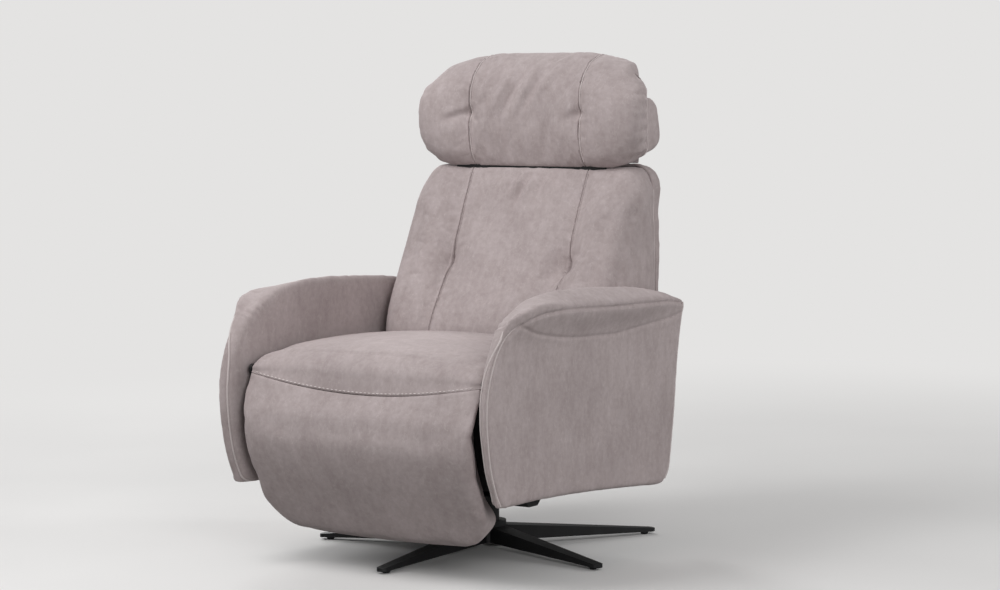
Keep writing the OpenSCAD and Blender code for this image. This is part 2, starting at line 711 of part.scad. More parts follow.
function board_curve(from, to, count) =
    [for (k = [0:count]) curve_at(foot_inner, mix(from, to, k / count))];
// Places along the inner curve where the board and the arm's tab start and end
board_start = 0.3;
board_end = 4.9;
tab_start = 3.4;
tab_end = 4.6;
tab_in = 36;
module footrest_board() {
    color(wood) slab(-seat_half, seat_w)
        polygon(band(board_curve(board_start, board_end, 14), board_gap, board_gap + foot_board_t));
}
module footrest_arm(s) {
    near = board_gap + foot_board_t + board_gap;
    color(steel) side(s) {
        slab(arm_layer_x, link_t) difference() {
            union() {
                strap(foot_pivot, foot_pin, nose_ear_r, link_end_r);
                strap(foot_pivot, curve_at(foot_inner, 1.2) + [ear_r, 0], nose_ear_r, ear_r);
                strap(curve_at(foot_inner, 1.2) + [ear_r, 0],
                    curve_at(foot_inner, 3) + [ear_r, 0], ear_r, ear_r);
                polygon(band(board_curve(3, tab_end, 6), 0, near + link_t));
                strap(curve_at(foot_inner, 3) + [ear_r, 0],
                    curve_at(foot_inner, 4) + [ear_r * 0.7, ear_r * 0.5], ear_r, ear_r * 0.7);
            }
            translate(foot_pivot) circle(pivot_r + run_gap);
            translate(foot_pin) circle(link_pin_r + run_gap);
        }
        slab(seat_half - tab_in, arm_layer_x + link_t - seat_half + tab_in)
            polygon(band(board_curve(tab_start, tab_end, 5), near, near + link_t));
    }
}
module footrest_arm_left() { footrest_arm(-1); }
module footrest_arm_right() { footrest_arm(1); }
// A pin with a head, from x0 to x1
module headed_pin(p, r, x0, x1, head_r) {
    round_bar(x0, p, r, x1 - x0);
    round_bar(x1, p, head_r, head_t);
}
pivot_head_r = 8;
module footrest_pins() {
    color(bright_steel) for (s = [-1, 1]) side(s) {
        headed_pin(foot_pivot, pivot_r, side_x, arm_layer_x + link_t, pivot_head_r);
        headed_pin(foot_pin, link_pin_r, arm_layer_x, link_x + link_t + part_gap, link_end_r);
    }
}

// Push links
module push_link(s) {
    eye = foot_pin - [0, link_drop];
    color(steel) side(s) slab(link_x, link_t) difference() {
        strap(eye, back_pin, link_end_r + link_slack / 2, link_end_r);
        translate(eye) circle(link_pin_r + link_slack);
        translate(back_pin) circle(link_pin_r + run_gap);
    }
}
module push_link_left() { push_link(-1); }
module push_link_right() { push_link(1); }

// Back frame, as [y, z] places
lower_tube_back = 12;
lower_tube_rise = 42;
top_tube_in = 14;
top_tube_drop = 38;
lower_tube = back_pivot + [lower_tube_back, lower_tube_rise];
top_tube = [back_rear_y - top_tube_in, back_top - top_tube_drop];
frame_dir = unit(top_tube - lower_tube);
frame_front = [-frame_dir[1], frame_dir[0]];
module back_lower_tube() {
    color(steel) round_bar(-arm_layer_x, lower_tube, cross_tube_r, arm_layer_x * 2);
}
module back_top_tube() {
    reach = back_tube_x + back_tube_r;
    color(steel) round_bar(-reach, top_tube, cross_tube_r, reach * 2);
}
module back_tube(s) {
    tilt = atan2(frame_dir[0], frame_dir[1]);
    color(steel) difference() {
        translate([s * back_tube_x, lower_tube[0], lower_tube[1]]) rotate([-tilt, 0, 0])
            cylinder(r = back_tube_r, h = norm(top_tube - lower_tube));
        round_bar(-back_half_w, lower_tube, cross_tube_r, back_half_w * 2);
        round_bar(-back_half_w, top_tube, cross_tube_r, back_half_w * 2);
    }
}
module back_tube_left() { back_tube(-1); }
module back_tube_right() { back_tube(1); }
module back_springs() {
    tilt = atan2(frame_dir[0], frame_dir[1]);
    span = norm(top_tube - lower_tube);
    color(bright_steel) for (k = [1:back_spring_count])
        let (p = lower_tube + frame_dir * span * (k - 0.5) / back_spring_count
            + frame_front * back_tube_r)
        translate([0, p[0], p[1]]) rotate([90 - tilt, 0, 0]) linear_extrude(spring_t)
            wave(-back_tube_x - back_tube_r / 2, back_tube_x + back_tube_r / 2);
}
module back_arm(s) {
    color(steel) side(s) slab(arm_layer_x, link_t) difference() {
        union() {
            strap(back_pivot, lower_tube, ear_r, ear_r);
            strap(back_pivot, back_pin, ear_r, link_end_r);
        }
        translate(back_pivot) circle(pivot_r + run_gap);
        translate(back_pin) circle(link_pin_r + run_gap);
    }
}
module back_arm_left() { back_arm(-1); }
module back_arm_right() { back_arm(1); }
module back_pins() {
    color(bright_steel) for (s = [-1, 1]) side(s) {
        headed_pin(back_pivot, pivot_r, side_x, arm_layer_x + link_t, pivot_head_r);
        headed_pin(back_pin, link_pin_r, arm_layer_x, link_x + link_t + part_gap, link_end_r);
    }
}

// Back cushion. Rows of [share of the height, share of the depth] for the front
back_rows_shares = [
    [0.00, -0.045], [0.06, -0.04], [0.13, -0.025], [0.21, 0.005], [0.30, 0.095], [0.38, 0.195],
    [0.46, 0.284], [0.54, 0.362], [0.62, 0.440], [0.72, 0.529], [0.82, 0.607], [0.90, 0.670],
    [0.97, 0.720], [1.0, 0.752]
];
back_bolster = 23;
back_corner = 32;
back_plan_shares = [0, 0.32, 0.64, 0.86];
back_edge_r = 28;
back_side_shares = [[0, 0.5], [0.1, 0.29], [0.2, 0.21], [0.5, 0], [0.88, 0], [0.96, 0.36], [1, 1]];
// Half-width of a seam's dip, radius of a tuft's dip, and how far the sides draw in at the rear
dip_half_w = 16;
tuft_r = 46;
rear_taper = 2;
// How far the top edge falls away towards both sides
back_top_fall = 3;
function back_width(v) =
    mix(back_half_w, back_top_half_w, ease((v - 0.7) / 0.3))
        - back_edge_r * table_at(back_side_shares, v);
function back_dip(x, z) =
    let (off = abs(abs(x) - back_seam_x), near = max(0, 1 - off / dip_half_w))
    let (tuft = max(0, 1 - norm([off, z - back_tuft_z]) / tuft_r))
    seam_depth * near * near + tuft_depth * tuft * tuft;
function back_front_points(w) = concat(
    [for (v = back_plan_shares) v * back_seam_x],
    [for (v = [-0.5, 0, 0.5]) back_seam_x + v * dip_half_w],
    [for (v = [0.4, 0.75, 1]) mix(back_seam_x, w - back_corner, v)]
);
function back_ring(row) =
    let (z = mix(back_under, back_top, row[0]), w = back_width(row[0]))
    let (front = row[1] * back_rear_y, half = back_front_points(w))
    let (swell = back_bolster * ease((row[0] - 0.1) / 0.3) * (1 - ease((row[0] - 0.8) / 0.2)))
    let (face = [for (x = both_ways(half))
        let (b = ease((abs(x) - back_seam_x * 0.7) / (w - back_corner - back_seam_x * 0.7)))
        [x, front - swell * b + back_dip(x, z)]])
    let (turn = [for (a = [22.5:22.5:90])
        [w - back_corner + back_corner * sin(a), front - swell + back_corner * (1 - cos(a))]])
    let (flank = [[w, mix(front + back_corner, back_rear_y, 0.5)], [w - rear_taper, back_rear_y]])
    let (right = concat(turn, flank))
    let (left = [for (k = [len(right) - 1:-1:0]) [-right[k][0], right[k][1]]])
    let (open = concat(left, face, right), n = len(open))
    let (rear = [for (k = [n - 2:-1:1]) [(w - rear_taper) * (2 * k / (n - 1) - 1), back_rear_y]])
    let (ring = concat(open, rear), fall = back_top_fall * ease((row[0] - 0.9) / 0.1))
    [for (k = [1:len(ring)]) let (p = ring[k % len(ring)]) [p[0], p[1], z - fall * (p[0] / w) * (p[0] / w)]];
module back_cushion() {
    reach = back_tube_x + back_tube_r + spring_t;
    front = spring_t + back_tube_r + part_gap;
    lean = norm(top_tube - lower_tube) + cross_tube_r + part_gap;
    low = cross_tube_r + part_gap + spring_t;
    near = frame_front * front;
    wide = near + frame_front * spring_t;
    foot = lower_tube - frame_dir * low;
    head = lower_tube + frame_dir * lean;
    color(fabric) difference() {
        skin([for (row = back_rows_shares) back_ring(row)]);
        // Pocket for the frame, open to the rear and below
        slab(-reach, reach * 2) polygon([
            foot + near, head + near, [back_rear_y + over, head[1] + near[1]],
            [back_rear_y + over, back_under - over], [foot[0] + near[0], back_under - over]
        ]);
        // Room for the lower tube and the hinge arms at both sides
        slab(-back_half_w - over, (back_half_w + over) * 2) polygon([
            foot + wide, foot + wide + frame_dir * low * 2, lower_tube + [low * 2, low * 1.4],
            [back_rear_y / 2, back_under - over], [foot[0] + wide[0], back_under - over]
        ]);
        for (s = [-1, 1]) side(s)
            translate([hinge_slot_x, head_pivot_y - hinge_end_r - over, top_tube[1] - ear_r * 2])
                cube([hinge_slot_w, ear_r * 4, ear_r * 6]);
    }
}
// Rear cover: a shallow shell, open towards the cushion
cover_side_shares = [
    [0.00, 0.00], [0.28, 0.10], [0.45, 0.34], [0.62, 0.74], [0.76, 0.98], [0.88, 1.0],
    [0.96, 0.70], [1.0, 0.05]
];
cover_rise = 6;
cover_in = 5;
cover_corner_r = 46;
cover_top = back_top + cover_rise;
function cover_profile(inset) =
    let (h = cover_top - back_under - inset * 2)
    let (p = curve([for (q = cover_side_shares)
        [back_rear_y + rear_cover_d * (0.4 + 0.6 * q[1]) - inset,
         back_under + inset + q[0] * h]], 14))
    concat([[back_rear_y + (inset > 0 ? -over : 0), back_under + inset]], p,
        [[back_rear_y + (inset > 0 ? -over : 0), cover_top - inset]]);
function cover_outline(inset) =
    let (w = back_half_w - cover_in - inset, t = back_top_half_w - cover_in - inset)
    let (r = cover_corner_r)
    let (low = back_under + inset, high = cover_top - inset)
    let (right = concat([[w, low], [w, mix(low, high, 0.55)], [t, high - r * 1.4]],
        [for (a = [0:15:90]) [t - r + r * cos(a), high - r + r * sin(a)]]))
    concat(right, [for (k = [len(right) - 1:-1:0]) [-right[k][0], right[k][1]]]);
module cover_body(inset) {
    depth = back_rear_y + rear_cover_d + over;
    intersection() {
        slab(-back_half_w, back_half_w * 2) polygon(cover_profile(inset));
        translate([0, depth, 0]) rotate([90, 0, 0]) linear_extrude(depth)
            polygon(cover_outline(inset));
    }
}
module back_rear_cover() {
    color(fabric) translate([0, part_gap, 0]) difference() {
        cover_body(0);
        cover_body(rear_cover_wall);
    }
}
module gas_fork() {
    t = leaf_t;
    gap = gas_eye_r * 2 + part_gap * 2;
    color(steel) {
        for (s = [-1, 1]) side(s) slab(gap / 2, t) difference() {
            strap(lower_tube, gas_pin, cross_tube_r + beam_t / 2, gas_eye_r);
            translate(lower_tube) circle(cross_tube_r);
        }
        round_bar(-gap / 2 - t, gas_pin, pivot_r, gap + t * 2);
    }
}

// Gas spring, along the line between its two pins
gas_anchor_front = 232;
gas_anchor_drop = 22;
gas_anchor = [-gas_anchor_front, frame_top - gas_anchor_drop];
gas_dir = unit(gas_pin - gas_anchor);
gas_tilt = atan2(gas_dir[0], gas_dir[1]);
module along_gas() {
    translate([0, gas_anchor[0], gas_anchor[1]]) rotate([-gas_tilt, 0, 0]) children();
}
module gas_tube() {
    seal = gas_rod_r;
    color(plastic) difference() {
        union() {
            round_bar(-gas_eye_r, gas_anchor, gas_eye_r, gas_eye_r * 2);
            along_gas() cylinder(r = gas_tube_r, h = gas_tube_l);
        }
        round_bar(-gas_eye_r - over, gas_anchor, pivot_r + run_gap, (gas_eye_r + over) * 2);
        along_gas() translate([0, 0, gas_eye_r + seal])
            cylinder(r = gas_tube_r - beam_t, h = gas_tube_l - gas_eye_r - seal * 3);
        along_gas() translate([0, 0, gas_tube_l - seal * 3])
            cylinder(r = gas_rod_r + run_gap, h = seal * 4);
    }
}
module gas_rod() {
    eye = gas_pin - [0, gas_drop];
    reach = norm(gas_pin - gas_anchor);
    stroke = gas_lever_l * 0.75;
    tip = gas_tube_l - stroke - gas_rod_r * 4;
    color(bright_steel) difference() {
        union() {
            along_gas() translate([0, 0, tip]) cylinder(r = gas_rod_r, h = reach - tip);
            along_gas() translate([0, 0, tip])
                cylinder(r = gas_tube_r - beam_t - run_gap * 2, h = gas_rod_r);
            round_bar(-gas_eye_r, eye, gas_eye_r, gas_eye_r * 2);
        }
        round_bar(-gas_eye_r - over, eye, pivot_r + gas_slack, (gas_eye_r + over) * 2);
    }
}
module gas_bracket() {
    t = leaf_t;
    gap = gas_eye_r * 2 + part_gap * 2;
    foot = [gas_anchor[0] - gas_eye_r, cover_z];
    color(steel) {
        for (s = [-1, 1]) side(s) slab(gap / 2, t) polygon([
            foot + [-gas_eye_r, 0], foot + [gas_eye_r * 4, 0],
            gas_anchor + [gas_eye_r, gas_eye_r], gas_anchor + [-gas_eye_r, gas_eye_r]
        ]);
        translate([-gap / 2, foot[0] - gas_eye_r, cover_z]) cube([gap, gas_eye_r * 5, t]);
        round_bar(-gap / 2, gas_anchor, pivot_r, gap);
    }
}

// Headrest hinges, one leaf on the back frame and one on the headrest
hinge_end_r = 7;
hinge_pin_r = 3.5;
hinge_slot_x = head_hinge_x - leaf_t - head_t - over;
hinge_slot_w = leaf_t * 2 + head_t + part_gap * 2 + over;
module headrest_lower_leaves() {
    color(steel) for (s = [-1, 1]) side(s) slab(head_hinge_x - leaf_t, leaf_t) difference() {
        strap(top_tube, head_pivot, cross_tube_r + leaf_t, hinge_end_r);
        translate(top_tube) circle(cross_tube_r);
        translate(head_pivot) circle(hinge_pin_r + run_gap);
    }
}
// The headrest board, behind and above the pivot
board_back = 44.9;
board_lean = 20.9;
board_foot_rise = 6;
board_head_drop = 92;
board_side_in = 12;
board_foot = [head_pivot_y + board_back, head_pivot_z + board_foot_rise];
board_head = [board_foot[0] + board_lean, head_top - board_head_drop];
board_dir = unit(board_head - board_foot);
board_front = [-board_dir[1], board_dir[0]];
module headrest_upper_leaves() {
    x = head_hinge_x + part_gap;
    seat = board_foot + board_dir * ear_r + board_front * hinge_end_r;
    cut = ear_r * 3;
    color(steel) for (s = [-1, 1]) side(s) {
        slab(x, leaf_t) difference() {
            strap(head_pivot, seat, hinge_end_r, ear_r * 0.7);
            polygon([
                board_foot - board_dir * cut, board_head,
                board_head - board_front * cut, board_foot - (board_front + board_dir) * cut
            ]);
        }
        round_bar(head_hinge_x - leaf_t - head_t, head_pivot, hinge_pin_r,
            leaf_t * 2 + head_t + part_gap);
    }
}
module headrest_board() {
    w = head_pad_half_w - board_side_in;
    color(wood) slab(-w, w * 2) polygon([
        board_foot, board_head, board_head - board_front * head_board_t,
        board_foot - board_front * head_board_t
    ]);
}

// Headrest cushion. Shares of its height above the pivot, and of its depth behind the pivot
head_d = 118;
head_outer_shares = [
    [0.02, -0.005], [-0.06, 0.0], [-0.12, 0.02], [-0.17, 0.07], [-0.215, 0.20], [-0.24, 0.36], [-0.235, 0.52], [-0.17, 0.70],
    [0.01, 0.86], [0.24, 0.965], [0.52, 1.0], [0.74, 0.965], [0.83, 0.87], [0.80, 0.775]
];
head_inner_shares = [
    [0.10, -0.005], [0.20, -0.005], [0.30, 0.00], [0.37, 0.02], [0.395, 0.10], [0.42, 0.20],
    [0.45, 0.32], [0.49, 0.45], [0.53, 0.56], [0.57, 0.66], [0.60, 0.722], [0.70, 0.735]
];
function head_place(p) = [head_pivot_y + p[0] * head_d, head_pivot_z + p[1] * head_h];
head_outer = [for (p = head_outer_shares) head_place(p)];
head_inner = [for (p = head_inner_shares) head_place(p)];
head_steps = 15;
head_seam_share = head_seam_x / head_half_w;
head_stations = [0, 0.16, 0.33, 0.45, head_seam_share - 0.03, head_seam_share,
    head_seam_share + 0.03, 0.60, 0.74, 0.86, 0.94, 0.985, 1];
head_edge_r = 30;
head_edge_shares = [
    [0, 0], [0.74, 0.03], [0.86, 0.13], [0.94, 0.33], [0.985, 0.63], [1, 1]
];
// How far the ends stand forward, how much their tops drop and their undersides rise, and the
// rear's draw
head_wing = 20;
head_crown = 28;
head_foot_lift = 19;
head_rear_draw_share = 0.75;
head_core_share = [0.32, 0.42];
head_core = head_place(head_core_share);
// A point of the profile at a place across, before the edge, seams and tufts
function head_shaped(p, u) =
    let (up = ease((p[1] - head_pivot_z) / (head_h / 6)))
    let (wing = head_wing * up * ease((u - 0.2) / 0.5) * ease((head_core[0] - p[0]) / (head_d / 4)))
    let (lift = head_foot_lift * ease((u - 0.74) / 0.26) * ease((head_core[1] - p[1]) / (head_h / 3)))
    let (draw = p[0] > head_core[0] ? head_rear_draw_share * ease((u - 0.62) / 0.36) : 0)
    let (drop = head_crown * ease((u - 0.35) / 0.65) * ease((p[1] - head_core[1]) / (head_h / 2)))
    [mix(p[0], head_core[0], draw) - wing, p[1] - drop + lift];
function head_ring(x) =
    let (u = abs(x) / head_half_w, edge = head_edge_r * table_at(head_edge_shares, u))
    let (off = abs(abs(x) - head_seam_x), seam = max(0, 1 - off / dip_half_w))
    let (outer = [for (c = curve(head_outer, head_steps))
        let (tuft = max(0, 1 - norm([off, c[1] - head_tuft_z]) / tuft_r))
        let (dip = seam_depth * seam * seam + (c[0] < head_core[0] ? tuft_depth * tuft * tuft : 0))
        let (p = head_shaped(c, u), v = head_core - p) p + unit(v) * min(edge + dip, norm(v) * 0.6)])
    let (inner = [for (k = [0:head_steps])
        let (c = curve_at(head_inner, k * (len(head_inner) - 1) / head_steps), p = head_shaped(c, u))
        let (v = head_core - p, end = ease((k / head_steps - 0.7) / 0.3))
        let (lift = k < 3 ? [0, edge / 2] : [0, 0])
        p + lift + unit(v) * min(edge * end, norm(v) * 0.6)])
    [for (p = concat(outer, [for (k = [head_steps:-1:0]) inner[k]])) [x, p[0], p[1]]];
module headrest_cushion() {
    color(fabric) difference() {
        skin([for (u = both_ways(head_stations)) head_ring(u * head_half_w)]);
        for (s = [-1, 1]) side(s)
            translate([hinge_slot_x, head_pivot_y - hinge_end_r - over, head_pivot_z - ear_r])
                cube([hinge_slot_w, ear_r * 5, ear_r * 3.5]);
    }
}
// Rear pad. Shares of the headrest's depth behind the pivot, and of the pad's height
pad_foot_rise = 16;
pad_seat_in = 14;
pad_outer_shares = [
    [0.78, 0], [0.98, 0.04], [1.14, 0.17], [1.17, 0.36], [1.15, 0.56], [1.09, 0.76],
    [1.02, 0.92], [0.96, 1]
];
pad_steps = 10;
function pad_ring(x) =
    let (u = abs(x) / head_pad_half_w, edge = head_edge_r * table_at(head_edge_shares, u) * 0.8)
    let (core = head_place([0.85, 0.35]), seat = board_front * (head_board_t + part_gap))
    let (low = board_foot - seat + board_dir * pad_seat_in, high = board_head - seat - board_dir * over)
    let (foot = head_pivot_z + pad_foot_rise)
    let (shape = [for (p = pad_outer_shares)
        [head_pivot_y + p[0] * head_d, mix(foot, high[1], p[1])]])
    let (outer = [for (p = curve(shape, pad_steps))
        let (v = core - p) p + unit(v) * min(edge, norm(v) / 2)])
    [for (p = concat(outer, [for (k = [pad_steps:-1:0]) mix(low, high, k / pad_steps)]))
        [x, p[0], p[1]]];
module headrest_rear_pad() {
    color(fabric) skin([for (u = both_ways([0, 0.3, 0.6, 0.8, 0.92, 0.98, 1]))
        pad_ring(u * head_pad_half_w)]);
}

star_base();
base_column();
column_bush();
thrust_bearing();
base_glides();
spindle();
swivel_plate();
swivel_bolts();
front_beam();
rear_beam();
dust_cover();
side_plate_left();
side_plate_right();
front_spring_rail();
rear_spring_rail();
seat_springs();
seat_cushion();
gas_bracket();
arm_core_left();
arm_core_right();
arm_cover_left();
arm_cover_right();
arm_spacers();
arm_bolts();
footrest_pad();
footrest_board();
footrest_arm_left();
footrest_arm_right();
footrest_pins();
back_cushion();
back_rear_cover();
back_tube_left();
back_tube_right();
back_top_tube();
back_lower_tube();
back_springs();
back_arm_left();
back_arm_right();
back_pins();
gas_fork();
headrest_lower_leaves();
headrest_cushion();
headrest_rear_pad();
headrest_board();
headrest_upper_leaves();
push_link_left();
push_link_right();
gas_tube();
gas_rod();
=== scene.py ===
"""Star base swivel recliner: upholstery, seams, piping, stitches and finishes round the fixed frame."""
import json
import math

import bmesh
import bpy
import numpy as np
from mathutils import Matrix, Vector
from mathutils.bvhtree import BVHTree


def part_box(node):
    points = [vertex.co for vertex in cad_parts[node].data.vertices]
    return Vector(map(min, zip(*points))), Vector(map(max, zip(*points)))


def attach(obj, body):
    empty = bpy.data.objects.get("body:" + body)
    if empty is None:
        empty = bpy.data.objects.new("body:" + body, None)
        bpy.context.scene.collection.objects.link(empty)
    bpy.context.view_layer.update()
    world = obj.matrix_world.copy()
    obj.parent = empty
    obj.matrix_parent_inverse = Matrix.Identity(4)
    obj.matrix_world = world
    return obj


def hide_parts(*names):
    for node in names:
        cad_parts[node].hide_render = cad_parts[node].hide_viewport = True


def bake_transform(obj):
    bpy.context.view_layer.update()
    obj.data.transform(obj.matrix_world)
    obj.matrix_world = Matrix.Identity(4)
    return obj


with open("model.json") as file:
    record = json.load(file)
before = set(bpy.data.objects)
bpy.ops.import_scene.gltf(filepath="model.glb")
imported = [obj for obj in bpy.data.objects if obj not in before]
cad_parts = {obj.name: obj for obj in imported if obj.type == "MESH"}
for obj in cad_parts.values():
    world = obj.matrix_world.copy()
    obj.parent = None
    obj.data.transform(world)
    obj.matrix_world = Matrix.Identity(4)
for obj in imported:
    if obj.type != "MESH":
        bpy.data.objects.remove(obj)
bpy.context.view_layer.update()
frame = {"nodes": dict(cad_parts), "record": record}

MM = 0.001
SIDES = (-1, 1)


# Camera, at the photograph's viewing angle

CAMERA_AZIMUTH = 35.2367
CAMERA_ELEVATION = 5.333
CAMERA_ROLL = -0.8558
CAMERA_EYE = (3.4575, -4.8388, 1.0766)
CAMERA_LENS = 104.474
SENSOR_WIDTH = 36.0


def add_camera():
    azimuth, elevation, roll = (math.radians(a) for a in (CAMERA_AZIMUTH, CAMERA_ELEVATION, CAMERA_ROLL))
    back = Vector((math.sin(azimuth) * math.cos(elevation), -math.cos(azimuth) * math.cos(elevation),
                   math.sin(elevation)))
    right = Vector((math.cos(azimuth), math.sin(azimuth), 0))
    up = back.cross(right)
    rolled_right = right * math.cos(roll) + up * math.sin(roll)
    rolled_up = up * math.cos(roll) - right * math.sin(roll)
    data = bpy.data.cameras.new("camera")
    data.sensor_fit = "HORIZONTAL"
    data.sensor_width = SENSOR_WIDTH
    data.lens = CAMERA_LENS
    camera = bpy.data.objects.new("camera", data)
    camera.matrix_world = Matrix.Translation(CAMERA_EYE) @ Matrix(
        (rolled_right, rolled_up, back)).transposed().to_4x4()
    bpy.context.scene.collection.objects.link(camera)
    bpy.context.scene.camera = camera


# Materials

def linear(code):
    """The linear colour of an sRGB hex code."""
    values = (int(code[k:k + 2], 16) / 255 for k in (1, 3, 5))
    return tuple(v / 12.92 if v <= 0.04045 else ((v + 0.055) / 1.055) ** 2.4 for v in values) + (1.0,)


def add_node(tree, kind, settings=None, **links):
    """One node with its settings; a link names an input and gives a value or another node's output."""
    node = tree.nodes.new(kind)
    for name, value in (settings or {}).items():
        setattr(node, name, value)
    for name, value in links.items():
        key = int(name[1:]) if name[0] == "i" and name[1:].isdigit() else name.replace("_", " ")
        socket = node.inputs[key]
        if isinstance(value, bpy.types.NodeSocket):
            tree.links.new(value, socket)
        else:
            socket.default_value = value
    return node


def new_material(name):
    material = bpy.data.materials.new(name)
    material.use_nodes = True
    tree = material.node_tree
    tree.nodes.clear()
    shader = add_node(tree, "ShaderNodeBsdfPrincipled")
    output = add_node(tree, "ShaderNodeOutputMaterial")
    tree.links.new(shader.outputs[0], output.inputs["Surface"])
    return material, tree, shader


def pattern(tree, place, size_mm, detail=4.0, roughness=0.55, stretch=(1, 1, 1)):
    """Noise whose features measure size_mm, stretched along the axes that stretch names."""
    scale = tuple(1 / (size_mm * MM * s) for s in stretch)
    mapped = add_node(tree, "ShaderNodeMapping", Vector=place, Scale=scale)
    noise = add_node(tree, "ShaderNodeTexNoise", Vector=mapped.outputs[0], Scale=1.0, Detail=detail,
                     Roughness=roughness)
    return noise.outputs["Fac"]


def clouded(tree, share, low, high, low_at, high_at):
    """One colour that passes into another over part of a pattern's range."""
    part = add_node(tree, "ShaderNodeMapRange", Value=share, From_Min=low_at, From_Max=high_at)
    tint = add_node(tree, "ShaderNodeMix", {"data_type": "RGBA"}, i0=part.outputs[0], i6=linear(low),
                    i7=linear(high))
    return tint.outputs[2]


# Sizes in mm on the microfibre: clouds, strokes of the nap, its tufts, scuffs, and its fibres, which are
# under 0.1 mm and drawn coarser so that they show
CLOUD_MM = 150
BRUSH_MM = 34
NAP_MM = 11
MARK_MM = 24
GRAIN_MM = 1.1
SCUFF_WIDTH = 0.012
SCUFF_SHARE = 0.16
MULTIPLY = {"data_type": "RGBA", "blend_type": "MULTIPLY"}


def scuffs_and_highlight(tree, place, colour, lift):
    """The cloth's colour with thin pale lines where something brushed its nap, and lift more of that pale all
    over, which is a painted highlight.
    """
    marks = pattern(tree, place, MARK_MM, detail=2.5, stretch=(0.7, 0.7, 1.8))
    ridge = add_node(tree, "ShaderNodeMath", {"operation": "SUBTRACT"}, i0=marks, i1=0.5)
    ridge = add_node(tree, "ShaderNodeMath", {"operation": "ABSOLUTE"}, i0=ridge.outputs[0])
    scuff_and_highlight_share = add_node(tree, "ShaderNodeMapRange", Value=ridge.outputs[0], From_Min=0.0, From_Max=SCUFF_WIDTH,
                     To_Min=SCUFF_SHARE + lift, To_Max=lift)
    # The same pale draws the real scuff lines, and with lift it is a painted highlight over the whole cloth
    scuff_and_highlight_tint = add_node(tree, "ShaderNodeMix", {"data_type": "RGBA"}, i0=scuff_and_highlight_share.outputs[0], i6=colour,
                      i7=linear("#e4dcda"))
    return scuff_and_highlight_tint.outputs[2]


def make_microfibre(name, lift):
    """Brushed polyester microfibre with a nubuck look: cloudy, marked where its nap was stroked, not glossy.

    Lift pales it all over, as a painted highlight on welts, piping and seam lips."""
    material, tree, shader = new_material(name)
    place = add_node(tree, "ShaderNodeTexCoord").outputs["Object"]
    clouds = pattern(tree, place, CLOUD_MM, detail=3.0)
    strokes = pattern(tree, place, BRUSH_MM, detail=5.0, roughness=0.6, stretch=(0.75, 0.75, 2.2))
    nap = pattern(tree, place, NAP_MM, detail=4.0, roughness=0.65)
    grain = pattern(tree, place, GRAIN_MM, detail=2.0)
    base = clouded(tree, clouds, "#b1a5a5", "#bbafaf", 0.36, 0.64)
    stroke_tint = clouded(tree, strokes, "#efedec", "#ffffff", 0.34, 0.66)
    nap_tint = clouded(tree, nap, "#edebea", "#ffffff", 0.32, 0.62)
    stroked = add_node(tree, "ShaderNodeMix", MULTIPLY, i0=0.8, i6=base, i7=stroke_tint)
    napped = add_node(tree, "ShaderNodeMix", MULTIPLY, i0=0.8, i6=stroked.outputs[2], i7=nap_tint)
    tree.links.new(scuffs_and_highlight(tree, place, napped.outputs[2], lift), shader.inputs["Base Color"])
    rough = add_node(tree, "ShaderNodeMapRange", Value=strokes, To_Min=0.78, To_Max=0.92)
    tree.links.new(rough.outputs[0], shader.inputs["Roughness"])
    coarse = add_node(tree, "ShaderNodeBump", Height=nap, Strength=0.07, Distance=1.0 * MM)
    fine = add_node(tree, "ShaderNodeBump", Height=grain, Strength=0.25, Distance=0.35 * MM,
                    Normal=coarse.outputs[0])
    tree.links.new(fine.outputs[0], shader.inputs["Normal"])
    shader.inputs["Sheen Weight"].default_value = 0.28
    shader.inputs["Sheen Roughness"].default_value = 0.45
    shader.inputs["Sheen Tint"].default_value = linear("#f2e8e8")
    shader.inputs["Specular IOR Level"].default_value = 0.25
    return material


def plain_finish(name, tint, colours, relief, bump, rough, metallic=0.0):
    """A material with one pattern in its colour and another in its relief, each given as pattern's numbers.

    Bump is the relief's strength and its depth in mm; rough is one value, or two that follow the tint."""
    material, tree, shader = new_material(name)
    place = add_node(tree, "ShaderNodeTexCoord").outputs["Object"]
    clouds = pattern(tree, place, *tint)
    tree.links.new(clouded(tree, clouds, *colours), shader.inputs["Base Color"])
    emboss = add_node(tree, "ShaderNodeBump", Height=pattern(tree, place, *relief), Strength=bump[0],
                      Distance=bump[1] * MM)
    tree.links.new(emboss.outputs[0], shader.inputs["Normal"])
    if isinstance(rough, tuple):
        spread = add_node(tree, "ShaderNodeMapRange", Value=clouds, To_Min=rough[0], To_Max=rough[1])
        tree.links.new(spread.outputs[0], shader.inputs["Roughness"])
    else:
        shader.inputs["Roughness"].default_value = rough
    shader.inputs["Metallic"].default_value = metallic
    return material


def make_plywood():
    """Raw birch plywood: pale face veneer with long grain, figured every 4 mm."""
    material, tree, shader = new_material("birch_plywood")
    place = add_node(tree, "ShaderNodeTexCoord").outputs["Object"]
    grain = pattern(tree, place, 4, detail=5.0, stretch=(1, 14, 1))
    figure = pattern(tree, place, 60, detail=3.0, stretch=(1, 4, 1))
    light = clouded(tree, grain, "#c9a877", "#dcc193", 0.35, 0.65)
    shade = clouded(tree, figure, "#e6dccb", "#ffffff", 0.3, 0.7)
    figured = add_node(tree, "ShaderNodeMix", MULTIPLY, i0=1.0, i6=light, i7=shade)
    tree.links.new(figured.outputs[2], shader.inputs["Base Color"])
    bump = add_node(tree, "ShaderNodeBump", Height=grain, Strength=0.15, Distance=0.2 * MM)
    tree.links.new(bump.outputs[0], shader.inputs["Normal"])
    shader.inputs["Roughness"].default_value = 0.62
    return material


MICROFIBRE = make_microfibre("brushed_microfibre", 0.0)
